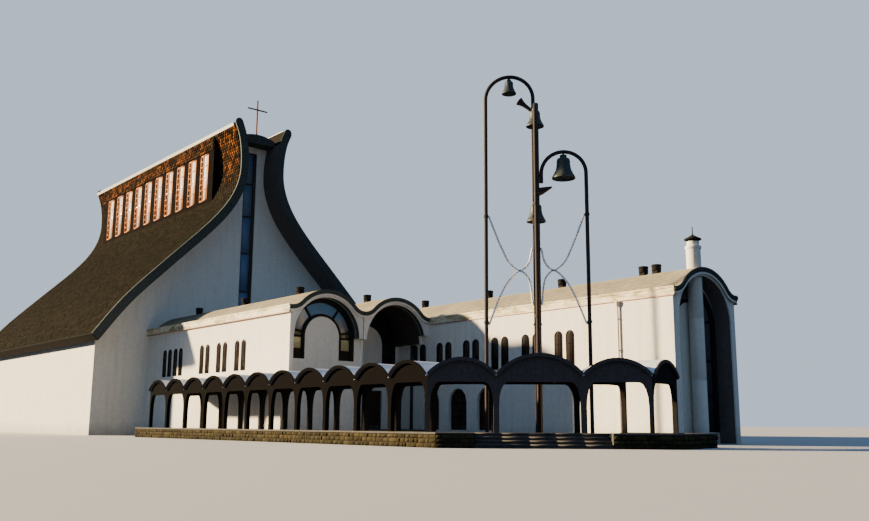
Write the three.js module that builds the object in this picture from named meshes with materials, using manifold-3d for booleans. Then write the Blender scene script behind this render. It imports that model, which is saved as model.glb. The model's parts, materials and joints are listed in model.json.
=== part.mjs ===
// A modern church with a sweeping shingled nave, two barrel-vaulted wings, a covered
// walk of small vaults and a free-standing bell tower, as a scale model at half size.
// Every size below is a size of the real building in metres. X runs to the right along
// the front, Y to the back of the nave and Z up from the lowest ground beside the steps.

import * as THREE from 'three';
import { mergeVertices } from 'three/addons/utils/BufferGeometryUtils.js';
import Module from 'manifold-3d';

const wasm = await Module();
wasm.setup();

// Scale and fit
const MODEL_MM_PER_METRE = 500; // half size
const GRID_MM = 0.01; // every vertex lies on this grid, so that touching faces match
const SEAT = 0.0006; // joint between bearing pieces, 0.3 mm in the model
const ARC_STEPS = 4; // a half circle is cut into twice this many facets

// Levels
const TERRACE = 0.6; // floor of the building and of the covered walk
const FLOOR_THICK = 0.3;
const SPRING = 6.3; // where the big arches start to curve
const VALLEY = 8.0; // lowest line of the wavy wing roofs

// Wings: two bays on the left, one long bay on the right
const BAY = 5.42;
const RIGHT_BAY = 5.7;
const RIGHT_X = 2 * BAY; // left face of the right wing
const RIGHT_END_X = RIGHT_X + RIGHT_BAY;
const WALL = 0.3;
const WAVE_THICK = 0.3; // wing roof and its fascia
const WAVE_RISE = 1.15;
const RIGHT_WAVE_RISE = 1.3;
const CROWN_RADIUS = 2.75;
const EAVE_OVERHANG = 0.12;
const LEFT_VENTS = [18.15, 10.8, 3.4]; // turrets along the first crown
const PORCH_VENT = 3.4;
const RIGHT_VENTS = [3.8, -3.0, -9.6, -15.8, -16.7];
const VENT_STEM = 0.16;
const VENT_HEAD = 0.25;
const VENT_CURB = 0.3;
const HOOD_DEEP = 0.62; // the arches stand this far before the walls behind them
const ARCH_RADIUS = 2.43;
const HOOD_END = 6.85; // the second arch stops short above the right wing's wall
const RIGHT_ARCH_RADIUS = 2.42;
const RIGHT_SPRING = 6.48;
const PORCH_DEEP = 3.3;
const RIGHT_FRONT_Y = -19.7;
const RIGHT_RECESS = 1.0; // front of the right wing to its set-back end wall

// Round-headed windows, in pairs
const WINDOW_WIDE = 0.56;
const WINDOW_SILL = 4.3;
const WINDOW_TOP = 6.2;
const PAIR_SPACING = 0.885;
const LEFT_PAIRS = [6.13, 8.71, 11.26, 15.55, 17.4];
const RIGHT_PAIR_PITCH = 2.645;
const RIGHT_FIRST_PAIR = 1.01;
const RIGHT_PAIR_COUNT = 6;
const OUTER_FIRST_PAIR = 17.07;
const OUTER_PAIR_COUNT = 13;
const SHEET_THICK = 0.03; // a glass sheet behind a wall's windows, and its laps past them
const SHEET_LAP_Y = 0.9;
const SHEET_LAP_Z = 0.15;
const DOORWAYS = [-0.29, -2.99, -5.69]; // round-headed doorways to the courtyard
const DOORWAY_WIDE = 1.7;
const DOORWAY_TOP = 3.25;

// Glazed rings around a plain arched panel
const RING_OUTER = 2.3;
const RING_INNER = 1.3;
const RING_SILL = 4.87;
const RING_FRAME = 0.1;
const RING_SET = 0.1; // wall's face to the frame's
const RING_BAR_ANGLES = [10, 55, 125, 170];
const RING_RAILS = [RING_SILL, 5.45, SPRING + 0.15]; // crossbars of the two legs
const END_RAILS = [TERRACE, 2.5, 4.4, SPRING + 0.15]; // the end window's legs reach the floor

// Nave
const NAVE_X = 8.15; // axis of the nave
const GABLE_Y = 21.1;
const VERGE_Y = 18.96; // front edge of the nave roof
const NAVE_BACK_Y = 50.9; // back edge of the nave roof
const GABLE_THICK = 0.45;
const ROOF_THICK = 0.65;
const NAVE_HALF = 12.3; // axis to the outside of the side walls
const SIDE_WALL = 0.4;
const RIDGE_Z = 25.75;
const GABLE_TOP = 24.6; // where the gable walls end under the ridge cap
const CAP_FOOT = 24.4; // the flanks' inner faces bound the ridge cap from here up
const CAP_EDGE = 25.1; // the ridge cap's sides, with its crown above them
const CAP_RISE = 0.35;
const CAP_DEEP = 0.45;
const CAP_FRONT = 0.4; // ridge cap before the cross, and short of the roof's back edge
const CAP_BACK = 1;
const CROSS_Y = 20.3;
const CROSS_HIGH = 3.2;
const CROSS_ARM = { half: 0.95, at: 2.3, high: 0.1 };
const CROSS_HALF = 0.05; // half the upright's thickness
const STRIP_HALF = 0.6;
const STRIP_SILL = 9.6;
const STRIP_TOP = 24.1;
const STRIP_RAILS = [STRIP_SILL, 11.9, 15.2, 18.4, 21.3, STRIP_TOP];
const STRIP_RAIL_HALF = 0.08;
const STRIP_PANE = [-0.5, 0.3]; // the pane's two sides from the axis, with a deep jamb beside it
const STRIP_THICK = 0.12;
const NAVE_DOOR_HALF = 2; // the opening from the wings into the nave
const NAVE_DOOR_TOP = 3.6;

// Clerestory of tall windows that stands out of each roof flank
const CLERE_FACE = 2.6; // axis to its outer face
const CLERE_WALL = 0.3;
const CLERE_NEAR = 22.9;
const CLERE_FAR = 48.3;
const CLERE_SILL = 19.9;
const CLERE_TOP = 24.3;
const CLERE_COUNT = 10;
const CLERE_OPENING = 1.5;
const CLERE_CHEEK = 0.5;
const CLERE_BACK = 1.9; // the band's block, before the roof is cut from it
const CLERE_BLOCK = [19.0, 25.5];
const CLERE_RIM = 0.1; // wall left over and under the openings
const CLERE_HOLLOW = 1.0; // cutters reach in to here
const SLOT_REACH = [0.5, 4.0]; // and the slot's cutter spans this much of the flank
const CLERE_PANE = 0.05;

// Covered walk
const WALK_FRONT_X = -3.35;
const WALK_DEEP = 2.65;
const WALK_BACK_END_Y = 12.14;
const WALK_BAY = 2.653;
const WALK_BAYS = 11;
const GATE_BAYS = [2.95, 3.72, 2.9];
const GATE_TURN = -42; // degrees from +X
const RETURN_BAYS = [2.95];
const RETURN_TURN = 15;
const WALK_VALLEY = 3.1;
const WALK_TIE = 2.76; // flat underside of the vault ends
const WALK_RISE_RATIO = 0.23; // rise of a vault over its bay
const WALK_FRAME = 0.22;
const WALK_SKIN = 0.1;
const WALK_OVERHANG = 0.1;
const POST_HALF = 0.12;
const FLARE_OUT = 0.38; // each post widens by this on both sides, up to the tie line
const FLARE_HIGH = 1.0;
const FLARE_STEPS = 4;
const PLINTH_EDGE = 0.75; // plinth before the posts
const GATE_EDGE = 1.6; // and before the gate's posts, where the steps are let into it

// Steps in front of the gate
const STEP_COUNT = 4;
const STEP_TREAD = 0.36;
const STEPS_WIDE = 5.6;
const PLINTH_END = 0.3; // plinth beyond the last posts
const PLINTH_BACK = 0.15; // and behind the back posts

// Bell tower
const TOWER = new THREE.Vector3(5.1, -15.59, 0);
const TOWER_TURN = -46.5; // the plane of its left and right arms, degrees from +X
const MAST_RADIUS = 0.19;
const MAST_TOP = 17.7;
const ARM_RADIUS = 0.1;
const ARM_REACH = 2.6;
const ARM_END = MAST_RADIUS + ARM_RADIUS + SEAT; // mast's axis to the tail of an arm beside it
const TOP_ARM_END = 0.09; // and to the tail that stands on the mast's top
const ARM_TAIL = 0.5;
const ARM_STEPS = 20;
const ARM_STRAIGHT = 0.1; // share of an arm's steps in its post, and again in its tail
const BELL_DROP = 0.0058; // clearance under the arm, for the loop on a bell's head
const BELL_LOOP = 0.05;
const BELL_OUTSIDE = [[0.3, 0.12], [0.3, 0.4], [0.52, 0.46], [0.57, 0.62], [0.59, 1.0], [0.66, 1.4],
  [0.8, 1.72], [1.0, 2.05], [1.0, 2.2]]; // radius and depth in mouth radii
const BELL_INSIDE = [[0.92, 2.2], [0.66, 1.65], [0.5, 1.0], [0.44, 0.66], [0, 0.58]];
const UPPER_HORN = { turn: 180, tilt: 50, z: 17.25,
  section: [[0, 0], [0.1, 0], [0.12, 0.6], [0.2, 0.85], [0.22, 0.95], [0, 0.95]] };
const LOWER_HORN = { turn: 0, tilt: 70, z: 12.85,
  section: [[0, 0], [0.2, 0], [0.2, 0.2], [0.04, 0.8], [0, 0.8]] };
const BRACE_RADIUS = 0.04;
const BRACE_SIDES = 6;
const BRACE_STEPS = 20;
const BRACE_MEET = 8.72; // height where the two rods of a brace cross
const BRACE_REACHES = [1.8, 1.37, 0.86, 0.45]; // the rods' points between post and mast
const BRACE_HANGING = [11.64, 9.93, 9.1, BRACE_MEET + 0.01, 9.07, 9.9];
const BRACE_STANDING = [5.95, 7.6, 8.3, BRACE_MEET - 0.01, 8.35, 6.95];

// Materials
const finish = (colour, roughness, metalness = 0) =>
  new THREE.MeshStandardMaterial({ color: colour, roughness, metalness });
const STUCCO = () => finish(0xe9e2d2, 0.9);
const SHINGLE = () => finish(0x8d8373, 0.95);
const SCALES = () => finish(0x5d4f38, 0.9);
const DARK_TRIM = () => finish(0x2a251f, 0.7);
const MEMBRANE = () => finish(0xdfe6ee, 0.8);
const GLASS = () => finish(0x2b3a44, 0.15);
const FRAME_RED = () => finish(0x9a4a25, 0.5);
const STONE = () => finish(0x94886a, 0.95);
const CONCRETE = () => finish(0x9c978c, 0.95);
const TOWER_STEEL = () => finish(0x2b2622, 0.5, 0.6);
const BRONZE = () => finish(0x3b4038, 0.4, 0.8);
const WHITE_STEEL = () => finish(0xdedcd2, 0.5, 0.2);
const COPPER = () => finish(0xb0532a, 0.45, 0.6);

// Solids and booleans

// Takes a geometry in metres to model millimetres on the common grid.
function toModel(geometry) {
  const plain = geometry.clone();
  plain.deleteAttribute('normal');
  plain.deleteAttribute('uv');
  const place = plain.attributes.position;
  const snap = (metres) => Math.round((metres * MODEL_MM_PER_METRE) / GRID_MM) * GRID_MM;
  for (let i = 0; i < place.count; i += 1) {
    place.setXYZ(i, snap(place.getX(i)), snap(place.getY(i)), snap(place.getZ(i)));
  }
  return mergeVertices(plain, GRID_MM / 4);
}

function solid(geometry) {
  const model = toModel(geometry);
  return new wasm.Manifold(new wasm.Mesh({
    numProp: 3,
    vertProperties: Float32Array.from(model.attributes.position.array),
    triVerts: Uint32Array.from(model.index.array),
  }));
}

function toGeometry(body) {
  const mesh = body.getMesh();
  const geometry = new THREE.BufferGeometry();
  geometry.setAttribute('position', new THREE.BufferAttribute(Float32Array.from(mesh.vertProperties), 3));
  geometry.setIndex(new THREE.BufferAttribute(Uint32Array.from(mesh.triVerts), 1));
  geometry.computeVertexNormals();
  return geometry;
}

const join = (bodies) => bodies.reduce((sum, body) => sum.add(body));
const cut = (body, tools) => tools.reduce((rest, tool) => rest.subtract(tool), body);

function node(name, shape, material) {
  const body = shape instanceof THREE.BufferGeometry ? solid(shape) : shape;
  const mesh = new THREE.Mesh(toGeometry(body), material);
  mesh.name = name;
  return mesh;
}

// Extrusions

const extrude = (shape, depth) =>
  new THREE.ExtrudeGeometry(shape, { depth, bevelEnabled: false, curveSegments: ARC_STEPS });

// The shape's axes are Y and Z, and it runs along X from x0 to x1.
function alongX(shape, x0, x1) {
  const geometry = extrude(shape, x1 - x0);
  geometry.applyMatrix4(new THREE.Matrix4().set(0, 0, 1, x0, 1, 0, 0, 0, 0, 1, 0, 0, 0, 0, 0, 1));
  return geometry;
}

// The shape's axes are X and Z, and it runs along Y from y0 to y1.
function alongY(shape, y0, y1) {
  const geometry = extrude(shape, y1 - y0);
  geometry.applyMatrix4(new THREE.Matrix4().set(1, 0, 0, 0, 0, 0, -1, y1, 0, 1, 0, 0, 0, 0, 0, 1));
  return geometry;
}

// The shape is a plan, and it stands from z0 to z1.
function upright(shape, z0, z1) {
  return extrude(shape, z1 - z0).translate(0, 0, z0);
}

function block(x0, x1, y0, y1, z0, z1) {
  const geometry = new THREE.BoxGeometry(x1 - x0, y1 - y0, z1 - z0);
  return geometry.translate((x0 + x1) / 2, (y0 + y1) / 2, (z0 + z1) / 2);
}

const outline = (points) => new THREE.Shape(points.map(([u, v]) => new THREE.Vector2(u, v)));
const rectangle = (u0, u1, v0, v1) => outline([[u0, v0], [u1, v0], [u1, v1], [u0, v1]]);

// Points of an arc by angle in degrees, both ends included.
function arcPoints(cu, cv, radius, from, to, steps) {
  return Array.from({ length: steps + 1 }, (_, i) => {
    const angle = THREE.MathUtils.degToRad(from + ((to - from) * i) / steps);
    return [cu + radius * Math.cos(angle), cv + radius * Math.sin(angle)];
  });
}

function roundHeaded(centre, sill, wide, top) {
  const half = wide / 2;
  return [[centre - half, sill], ...arcPoints(centre, top - half, half, 0, 180, 6).reverse(),
    [centre + half, sill]];
}

// A flat face of some thickness with openings cut right through it.
function pierced(face, openings, along, from, to) {
  const through = openings.map((points) => solid(along(outline(points), from - 0.4, to + 0.4)));
  return cut(solid(along(face, from, to)), through);
}

// Wavy wing roofs

// Height of the wave: a crown arc and two valley arcs that meet it without a kink.
function waveHeight(offset, halfBay, rise) {
  const radii = (rise ** 2 + halfBay ** 2) / (2 * rise);
  const valleyRadius = radii - CROWN_RADIUS;
  const turn = (halfBay * CROWN_RADIUS) / radii;
  const away = Math.abs(offset);
  if (away <= turn) {
    return VALLEY + rise - CROWN_RADIUS + Math.sqrt(CROWN_RADIUS ** 2 - away ** 2);
  }
  return VALLEY + valleyRadius - Math.sqrt(valleyRadius ** 2 - (halfBay - away) ** 2);
}

const WAVE_STEPS = 16;

// The wave's line over the wanted bays, lowered by drop.
function waveLine(startX, bay, bays, rise, drop) {
  return Array.from({ length: WAVE_STEPS * bays + 1 }, (_, i) => {
    const along = (i * bay) / WAVE_STEPS;
    const offset = (along % bay) - bay / 2;
    return [startX + along, waveHeight(offset, bay / 2, rise) - drop];
  });
}

const leftUnder = (drop = 0) => waveLine(0, BAY, 2, WAVE_RISE, WAVE_THICK + SEAT + drop);
// The right roof starts a joint further right, so where the wave is steep the joint under it is doubled.
const rightUnder = () => waveLine(RIGHT_X, RIGHT_BAY, 1, RIGHT_WAVE_RISE, WAVE_THICK + 2 * SEAT);
const between = (line, x0, x1) => line.filter(([x]) => x > x0 + 0.01 && x < x1 - 0.01);

function heightOn(line, x) {
  const next = line.findIndex(([u]) => u >= x - 1e-9);
  const [u1, v1] = line[next];
  const [u0, v0] = line[Math.max(next - 1, 0)];
  return u1 === u0 ? v1 : v0 + ((v1 - v0) * (x - u0)) / (u1 - u0);
}

// A wall outline from x0 to x1 whose top follows the underside of the wave.
function waveWall(line, x0, x1) {
  return outline([[x0, 0], [x0, heightOn(line, x0)], ...between(line, x0, x1),
    [x1, heightOn(line, x1)], [x1, 0]]);
}

// A round turret on a square curb, standing on the crown of a wing roof.
function ventSolids(x, y, roofZ) {
  const top = roofZ + VENT_CURB;
  const curb = block(x - VENT_STEM, x + VENT_STEM, y - VENT_STEM, y + VENT_STEM, roofZ - WAVE_THICK / 2, top);
  const head = new THREE.CylinderGeometry(VENT_HEAD, VENT_HEAD, VENT_CURB, 12).rotateX(Math.PI / 2);
  return [solid(curb), solid(head.translate(x, y, top + VENT_CURB / 2 - 0.02))];
}

function waveRoof(startX, bay, bays, rise, y0, y1, leftOver, rightOver, vents) {
  const top = waveLine(startX, bay, bays, rise, 0);
  const low = waveLine(startX, bay, bays, rise, WAVE_THICK);
  const last = top.length - 1;
  const left = leftOver ? [[startX - leftOver, low[0][1]], [startX - leftOver, top[0][1]]] : [];
  const right = rightOver
    ? [[top[last][0] + rightOver, top[last][1]], [top[last][0] + rightOver, low[last][1]]] : [];
  const slab = solid(alongY(outline([...left, ...top, ...right, ...low.reverse()]), y0, y1));
  return join([slab, ...vents.flatMap(([x, y, z]) => ventSolids(x, y, z))]);
}

const LEFT_CROWN_Z = VALLEY + WAVE_RISE;
const RIGHT_CROWN_Z = VALLEY + RIGHT_WAVE_RISE;
const RIGHT_MID_X = RIGHT_X + RIGHT_BAY / 2;
const STACK = { x: RIGHT_MID_X, y: RIGHT_FRONT_Y + 0.55, radius: 0.39, top: 10.85 };
const stackHole = () =>
  solid(new THREE.CylinderGeometry(STACK.radius + SEAT, STACK.radius + SEAT, 30, 20)
    .rotateX(Math.PI / 2).translate(STACK.x, STACK.y, 10));

function wingRoofs() {
  const left = waveRoof(0, BAY, 2, WAVE_RISE, -EAVE_OVERHANG, GABLE_Y - SEAT, EAVE_OVERHANG, 0,
    [...LEFT_VENTS.map((y) => [BAY / 2, y, LEFT_CROWN_Z]), [BAY * 1.5, PORCH_VENT, LEFT_CROWN_Z]]);
  const right = waveRoof(RIGHT_X + SEAT, RIGHT_BAY, 1, RIGHT_WAVE_RISE,
    RIGHT_FRONT_Y - EAVE_OVERHANG, GABLE_Y - SEAT, 0, EAVE_OVERHANG,
    RIGHT_VENTS.map((y) => [RIGHT_MID_X, y, RIGHT_CROWN_Z]));
  return [
    node('left_wing_roof', left, SHINGLE()),
    node('right_wing_roof', cut(right, [stackHole()]), SHINGLE()),
  ];
}

// Wing walls

const pairHoles = (centres) => centres.flatMap((centre) => [-0.5, 0.5].map((side) =>
  roundHeaded(centre + side * PAIR_SPACING, WINDOW_SILL, WINDOW_WIDE, WINDOW_TOP)));

const RIGHT_PAIRS = Array.from({ length: RIGHT_PAIR_COUNT },
  (_, i) => RIGHT_FIRST_PAIR - i * RIGHT_PAIR_PITCH);
const OUTER_PAIRS = Array.from({ length: OUTER_PAIR_COUNT },
  (_, i) => OUTER_FIRST_PAIR - i * RIGHT_PAIR_PITCH);

function sideWall(name, x0, x1, y0, y1, holes) {
  const face = rectangle(y0, y1, 0, VALLEY - WAVE_THICK - SEAT);
  return node(name, pierced(face, holes, alongX, x0, x1), STUCCO());
}

// One sheet of glass close behind a wall's windows, carried on its inner face.
function glassSheet(name, x0, pairs) {
  return node(name, block(x0, x0 + SHEET_THICK, Math.min(...pairs) - SHEET_LAP_Y,
    Math.max(...pairs) + SHEET_LAP_Y, WINDOW_SILL - SHEET_LAP_Z, WINDOW_TOP + SHEET_LAP_Z), GLASS());
}

// The inverted U between the plain arched panel and the big arch.
function ringOutline(centreX, grow, sill = RING_SILL) {
  const outer = RING_OUTER - grow;
  const inner = RING_INNER + grow;
  return [[centreX + outer, sill + grow], ...arcPoints(centreX, SPRING, outer, 0, 180, 20),
    [centreX - outer, sill + grow], [centreX - inner, sill + grow],
    ...arcPoints(centreX, SPRING, inner, 180, 0, 16), [centreX + inner, sill + grow]];
}

// One pane of the ring between two angles.
function ringPane(centreX, from, to) {
  const outer = RING_OUTER - RING_FRAME;
  const inner = RING_INNER + RING_FRAME;
  const gapOuter = THREE.MathUtils.radToDeg(RING_FRAME / 2 / outer);
  const gapInner = THREE.MathUtils.radToDeg(RING_FRAME / 2 / inner);
  return [...arcPoints(centreX, SPRING, outer, from + gapOuter, to - gapOuter, 5),
    ...arcPoints(centreX, SPRING, inner, to - gapInner, from + gapInner, 4)];
}

function ringWindow(name, centreX, y, rails, material) {
  const sill = rails[0];
  const frame = outline(ringOutline(centreX, SEAT, sill));
  const angles = RING_BAR_ANGLES;
  const panes = angles.slice(1).map((angle, i) => ringPane(centreX, angles[i], angle));
  for (let i = 1; i < rails.length; i += 1) {
    for (const side of [-1, 1]) {
      const mid = centreX + (side * (RING_OUTER + RING_INNER)) / 2;
      const half = (RING_OUTER - RING_INNER) / 2 - RING_FRAME;
      const low = rails[i - 1] + RING_FRAME;
      const high = rails[i] - RING_FRAME / 2;
      panes.push([[mid - half, low], [mid + half, low], [mid + half, high], [mid - half, high]]);
    }
  }
  const bars = pierced(frame, panes, alongY, y, y + RING_FRAME);
  const glass = solid(alongY(outline(ringOutline(centreX, RING_FRAME / 2, sill)), y + 0.06, y + 0.09));
  return node(name, join([bars, glass]), material);
}

function leftWing() {
  const under = leftUnder();
  const front = waveWall(under, WALL, BAY - WALL / 2);
  return [
    sideWall('left_wing_side_wall', 0, WALL, HOOD_DEEP, GABLE_Y - SEAT, pairHoles(LEFT_PAIRS)),
    node('left_wing_front_wall',
      pierced(front, [ringOutline(BAY / 2, 0)], alongY, HOOD_DEEP, HOOD_DEEP + WALL), STUCCO()),
    ringWindow('left_ring_window', BAY / 2, HOOD_DEEP + RING_SET, RING_RAILS, DARK_TRIM()),
    glassSheet('left_wing_glass', WALL, LEFT_PAIRS),
  ];
}

// The white arches that stand before both left bays, with a full pier at the corner. Over
// the porch the second arch runs on as a vault to the porch's back wall.
function archHood() {
  const under = leftUnder();
  const pier = BAY / 2 - ARCH_RADIUS;
  const from = THREE.MathUtils.radToDeg(Math.asin((HOOD_END - SPRING) / ARCH_RADIUS));
  const face = outline([[0, 0], ...under, [RIGHT_X, HOOD_END],
    ...arcPoints(BAY * 1.5, SPRING, ARCH_RADIUS, from, 180, 20),
    ...arcPoints(BAY / 2, SPRING, ARCH_RADIUS, 0, 180, 20), [pier, 0]]);
  const x0 = BAY + WALL / 2 + SEAT;
  const x1 = RIGHT_X - SEAT;
  const vault = outline([[x0, SPRING], [x0, heightOn(under, x0)], ...between(under, x0, x1),
    [x1, heightOn(under, x1)], [x1, SPRING], ...arcPoints(BAY * 1.5, SPRING, ARCH_RADIUS, 0, 180, 20)]);
  return node('arch_hood', join([solid(alongY(face, 0, HOOD_DEEP)),
    solid(alongY(vault, HOOD_DEEP - 0.02, PORCH_DEEP - SEAT))]), STUCCO());
}

const DOOR_HALF = 1.3;
const DOOR_TOP = 3.2;
const DOOR_SET = 0.12; // wall's face to the leaves
const DOOR_THICK = 0.07;
const DOOR_PANELS = [[0.25, 1.2], [1.4, 2.4]]; // heights over the floor
const DOOR_PANEL_HALF = 0.42;
const DOOR_PANEL_DEEP = 0.02;

function porch() {
  const under = leftUnder();
  const back = waveWall(under, BAY + WALL / 2, RIGHT_X);
  const mid = BAY * 1.5;
  const openings = [ringOutline(mid, 0), [[mid - DOOR_HALF, TERRACE], [mid + DOOR_HALF, TERRACE],
    [mid + DOOR_HALF, DOOR_TOP], [mid - DOOR_HALF, DOOR_TOP]]];
  const leftWall = rectangle(HOOD_DEEP, PORCH_DEEP + WALL, 0, VALLEY - WAVE_THICK - SEAT);
  return [
    node('porch_left_wall', alongX(leftWall, BAY - WALL / 2, BAY + WALL / 2), STUCCO()),
    node('porch_back_wall', pierced(back, openings, alongY, PORCH_DEEP, PORCH_DEEP + WALL), STUCCO()),
    ringWindow('porch_ring_window', BAY * 1.5, PORCH_DEEP + RING_SET, RING_RAILS, DARK_TRIM()),
    entranceDoors(mid),
  ];
}

// A pair of panelled leaves, shown shut.
function entranceDoors(mid) {
  const y = PORCH_DEEP + DOOR_SET;
  const slab = solid(block(mid - DOOR_HALF + SEAT, mid + DOOR_HALF - SEAT, y, y + DOOR_THICK,
    TERRACE + SEAT, DOOR_TOP - SEAT));
  const panels = [-0.5, 0.5].flatMap((side) => DOOR_PANELS.map(([low, high]) => {
    const middle = mid + side * DOOR_HALF;
    return solid(block(middle - DOOR_PANEL_HALF, middle + DOOR_PANEL_HALF, y - DOOR_PANEL_DEEP,
      y + DOOR_PANEL_DEEP, TERRACE + low, TERRACE + high));
  }));
  return node('entrance_doors', cut(slab, panels), DARK_TRIM());
}

function rightWing() {
  const under = rightUnder();
  const y0 = RIGHT_FRONT_Y + HOOD_DEEP;
  const y1 = GABLE_Y - SEAT;
  const doorHoles = DOORWAYS.map((y) => roundHeaded(y, TERRACE, DOORWAY_WIDE, DOORWAY_TOP));
  return [
    sideWall('right_wing_left_wall', RIGHT_X, RIGHT_X + WALL, y0, y1,
      [...pairHoles(RIGHT_PAIRS), ...doorHoles]),
    sideWall('right_wing_right_wall', RIGHT_END_X - WALL, RIGHT_END_X, y0, y1, pairHoles(OUTER_PAIRS)),
    glassSheet('right_wing_left_glass', RIGHT_X + WALL, RIGHT_PAIRS),
    glassSheet('right_wing_right_glass', RIGHT_END_X - WALL - SHEET_THICK, OUTER_PAIRS),
    node('courtyard_doors', block(RIGHT_X + WALL, RIGHT_X + WALL + 2 * SHEET_THICK,
      Math.min(...DOORWAYS) - DOORWAY_WIDE / 2 - SHEET_LAP_Z,
      Math.max(...DOORWAYS) + DOORWAY_WIDE / 2 + SHEET_LAP_Z,
      TERRACE, DOORWAY_TOP + SHEET_LAP_Z), DARK_TRIM()),
    rightFrontFrame(under),
    ...rightRecess(under),
  ];
}

function rightFrontFrame(under) {
  const frame = outline([[RIGHT_X, 0], ...under, [RIGHT_END_X, 0],
    [RIGHT_MID_X + RIGHT_ARCH_RADIUS, 0],
    ...arcPoints(RIGHT_MID_X, RIGHT_SPRING, RIGHT_ARCH_RADIUS, 0, 180, 20),
    [RIGHT_MID_X - RIGHT_ARCH_RADIUS, 0]]);
  const body = solid(alongY(frame, RIGHT_FRONT_Y, RIGHT_FRONT_Y + HOOD_DEEP));
  return node('right_wing_front_frame', cut(body, [stackHole()]), STUCCO());
}

// The set-back end wall with its tall ring window, and the round stack before it.
function rightRecess(under) {
  const y = RIGHT_FRONT_Y + RIGHT_RECESS;
  const wall = waveWall(under, RIGHT_X + WALL, RIGHT_END_X - WALL);
  const ring = ringOutline(RIGHT_MID_X, 0, TERRACE);
  return [
    node('right_wing_end_wall', pierced(wall, [ring], alongY, y, y + WALL), STUCCO()),
    ringWindow('end_window', RIGHT_MID_X, y + RING_SET, END_RAILS, GLASS()),
    chimneyStack(),
    chimneyCap(),
  ];
}

const turned = (points, segments) =>
  new THREE.LatheGeometry(points.map(([r, z]) => new THREE.Vector2(r, z)), segments).rotateX(Math.PI / 2);

const STACK_SIDES = 20;
const COLLAR = { foot: 0.4, head: 0.25, out: 0.05 }; // its edges below the stack's top, and its ledge
const NECK_IN = 0.06;

function chimneyStack() {
  const r = STACK.radius;
  const [foot, head] = [STACK.top - COLLAR.foot, STACK.top - COLLAR.head];
  const body = turned([[0, 0], [r, 0], [r, foot], [r + COLLAR.out, foot], [r + COLLAR.out, head],
    [r - NECK_IN, head], [r - NECK_IN, STACK.top], [0, STACK.top]], STACK_SIDES);
  return node('chimney_stack', body.translate(STACK.x, STACK.y, 0), STUCCO());
}

// The pointed cap's profile: radius, and height over the stack's top.
const CAP_PROFILE = [[0, 0], [0.32, 0], [0.32, 0.1], [0.46, 0.1], [0.46, 0.16], [0.1, 0.36], [0.03, 0.4],
  [0.03, 0.85], [0, 0.85]];

function chimneyCap() {
  const body = turned(CAP_PROFILE.map(([r, v]) => [r, STACK.top + SEAT + v]), STACK_SIDES);
  return node('chimney_cap', body.translate(STACK.x, STACK.y, 0), DARK_TRIM());
}

function wingFloors() {
  const x0 = WALL;
  const y0 = HOOD_DEEP + WALL;
  const z0 = TERRACE - FLOOR_THICK;
  const left = [[x0, y0], [BAY - WALL / 2, y0], [BAY - WALL / 2, PORCH_DEEP + WALL],
    [RIGHT_X, PORCH_DEEP + WALL], [RIGHT_X, GABLE_Y - SEAT], [x0, GABLE_Y - SEAT]];
  const endY = RIGHT_FRONT_Y + RIGHT_RECESS + WALL;
  return [
    node('left_wing_floor', upright(outline(left), z0, TERRACE), CONCRETE()),
    node('porch_floor', block(BAY + WALL / 2, RIGHT_X, 0, PORCH_DEEP, 0, TERRACE), CONCRETE()),
    node('right_wing_floor', block(RIGHT_X + WALL, RIGHT_END_X - WALL, endY, GABLE_Y - SEAT, z0, TERRACE),
      CONCRETE()),
  ];
}

// Nave roof

// Outer line of one flank, from the eave to the horn, as distance from the axis and height.
const FLANK = new THREE.SplineCurve([
  [13.32, 7.3], [11.1, 10.25], [8.1, 13.35], [4.7, 16.75], [2.95, 18.95], [2.12, 20.9],
  [1.98, 22.7], [2.2, 24.5], [2.65, RIDGE_Z],
].map(([u, v]) => new THREE.Vector2(u, v)));
const FLANK_STEPS = 26;

// The closed section of a flank between its outer line and a line inside it.
function flankSection(side, outset, inset) {
  const centre = FLANK.getPoints(FLANK_STEPS);
  const shifted = (distance) => centre.map((p, i) => {
    const tangent = FLANK.getTangent(i / FLANK_STEPS);
    return [NAVE_X + side * (p.x + tangent.y * distance), p.y - tangent.x * distance];
  });
  return outline([...shifted(outset), ...shifted(-inset).reverse()]);
}

// Everything under a flank's inner line, down to the ground, from the axis outwards.
function underFlanks(line) {
  const mirrored = (side) => line.map(([u, v]) => [NAVE_X + side * u, v]);
  return outline([...mirrored(-1), ...mirrored(1).reverse()]);
}

function innerLine(depth) {
  return FLANK.getPoints(FLANK_STEPS).map((p, i) => {
    const tangent = FLANK.getTangent(i / FLANK_STEPS);
    return [p.x - tangent.y * depth, p.y + tangent.x * depth];
  });
}

function flankRoof(name, side) {
  const shell = solid(alongY(flankSection(side, 0, ROOF_THICK), VERGE_Y, NAVE_BACK_Y));
  const near = CLERE_NEAR + CLERE_CHEEK;
  const far = CLERE_FAR - CLERE_CHEEK;
  const [a, b] = SLOT_REACH.map((reach) => NAVE_X + side * reach);
  const slot = solid(block(Math.min(a, b), Math.max(a, b), near, far, CLERE_SILL, CLERE_TOP));
  return node(name, shell.subtract(slot), SCALES());
}

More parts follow.
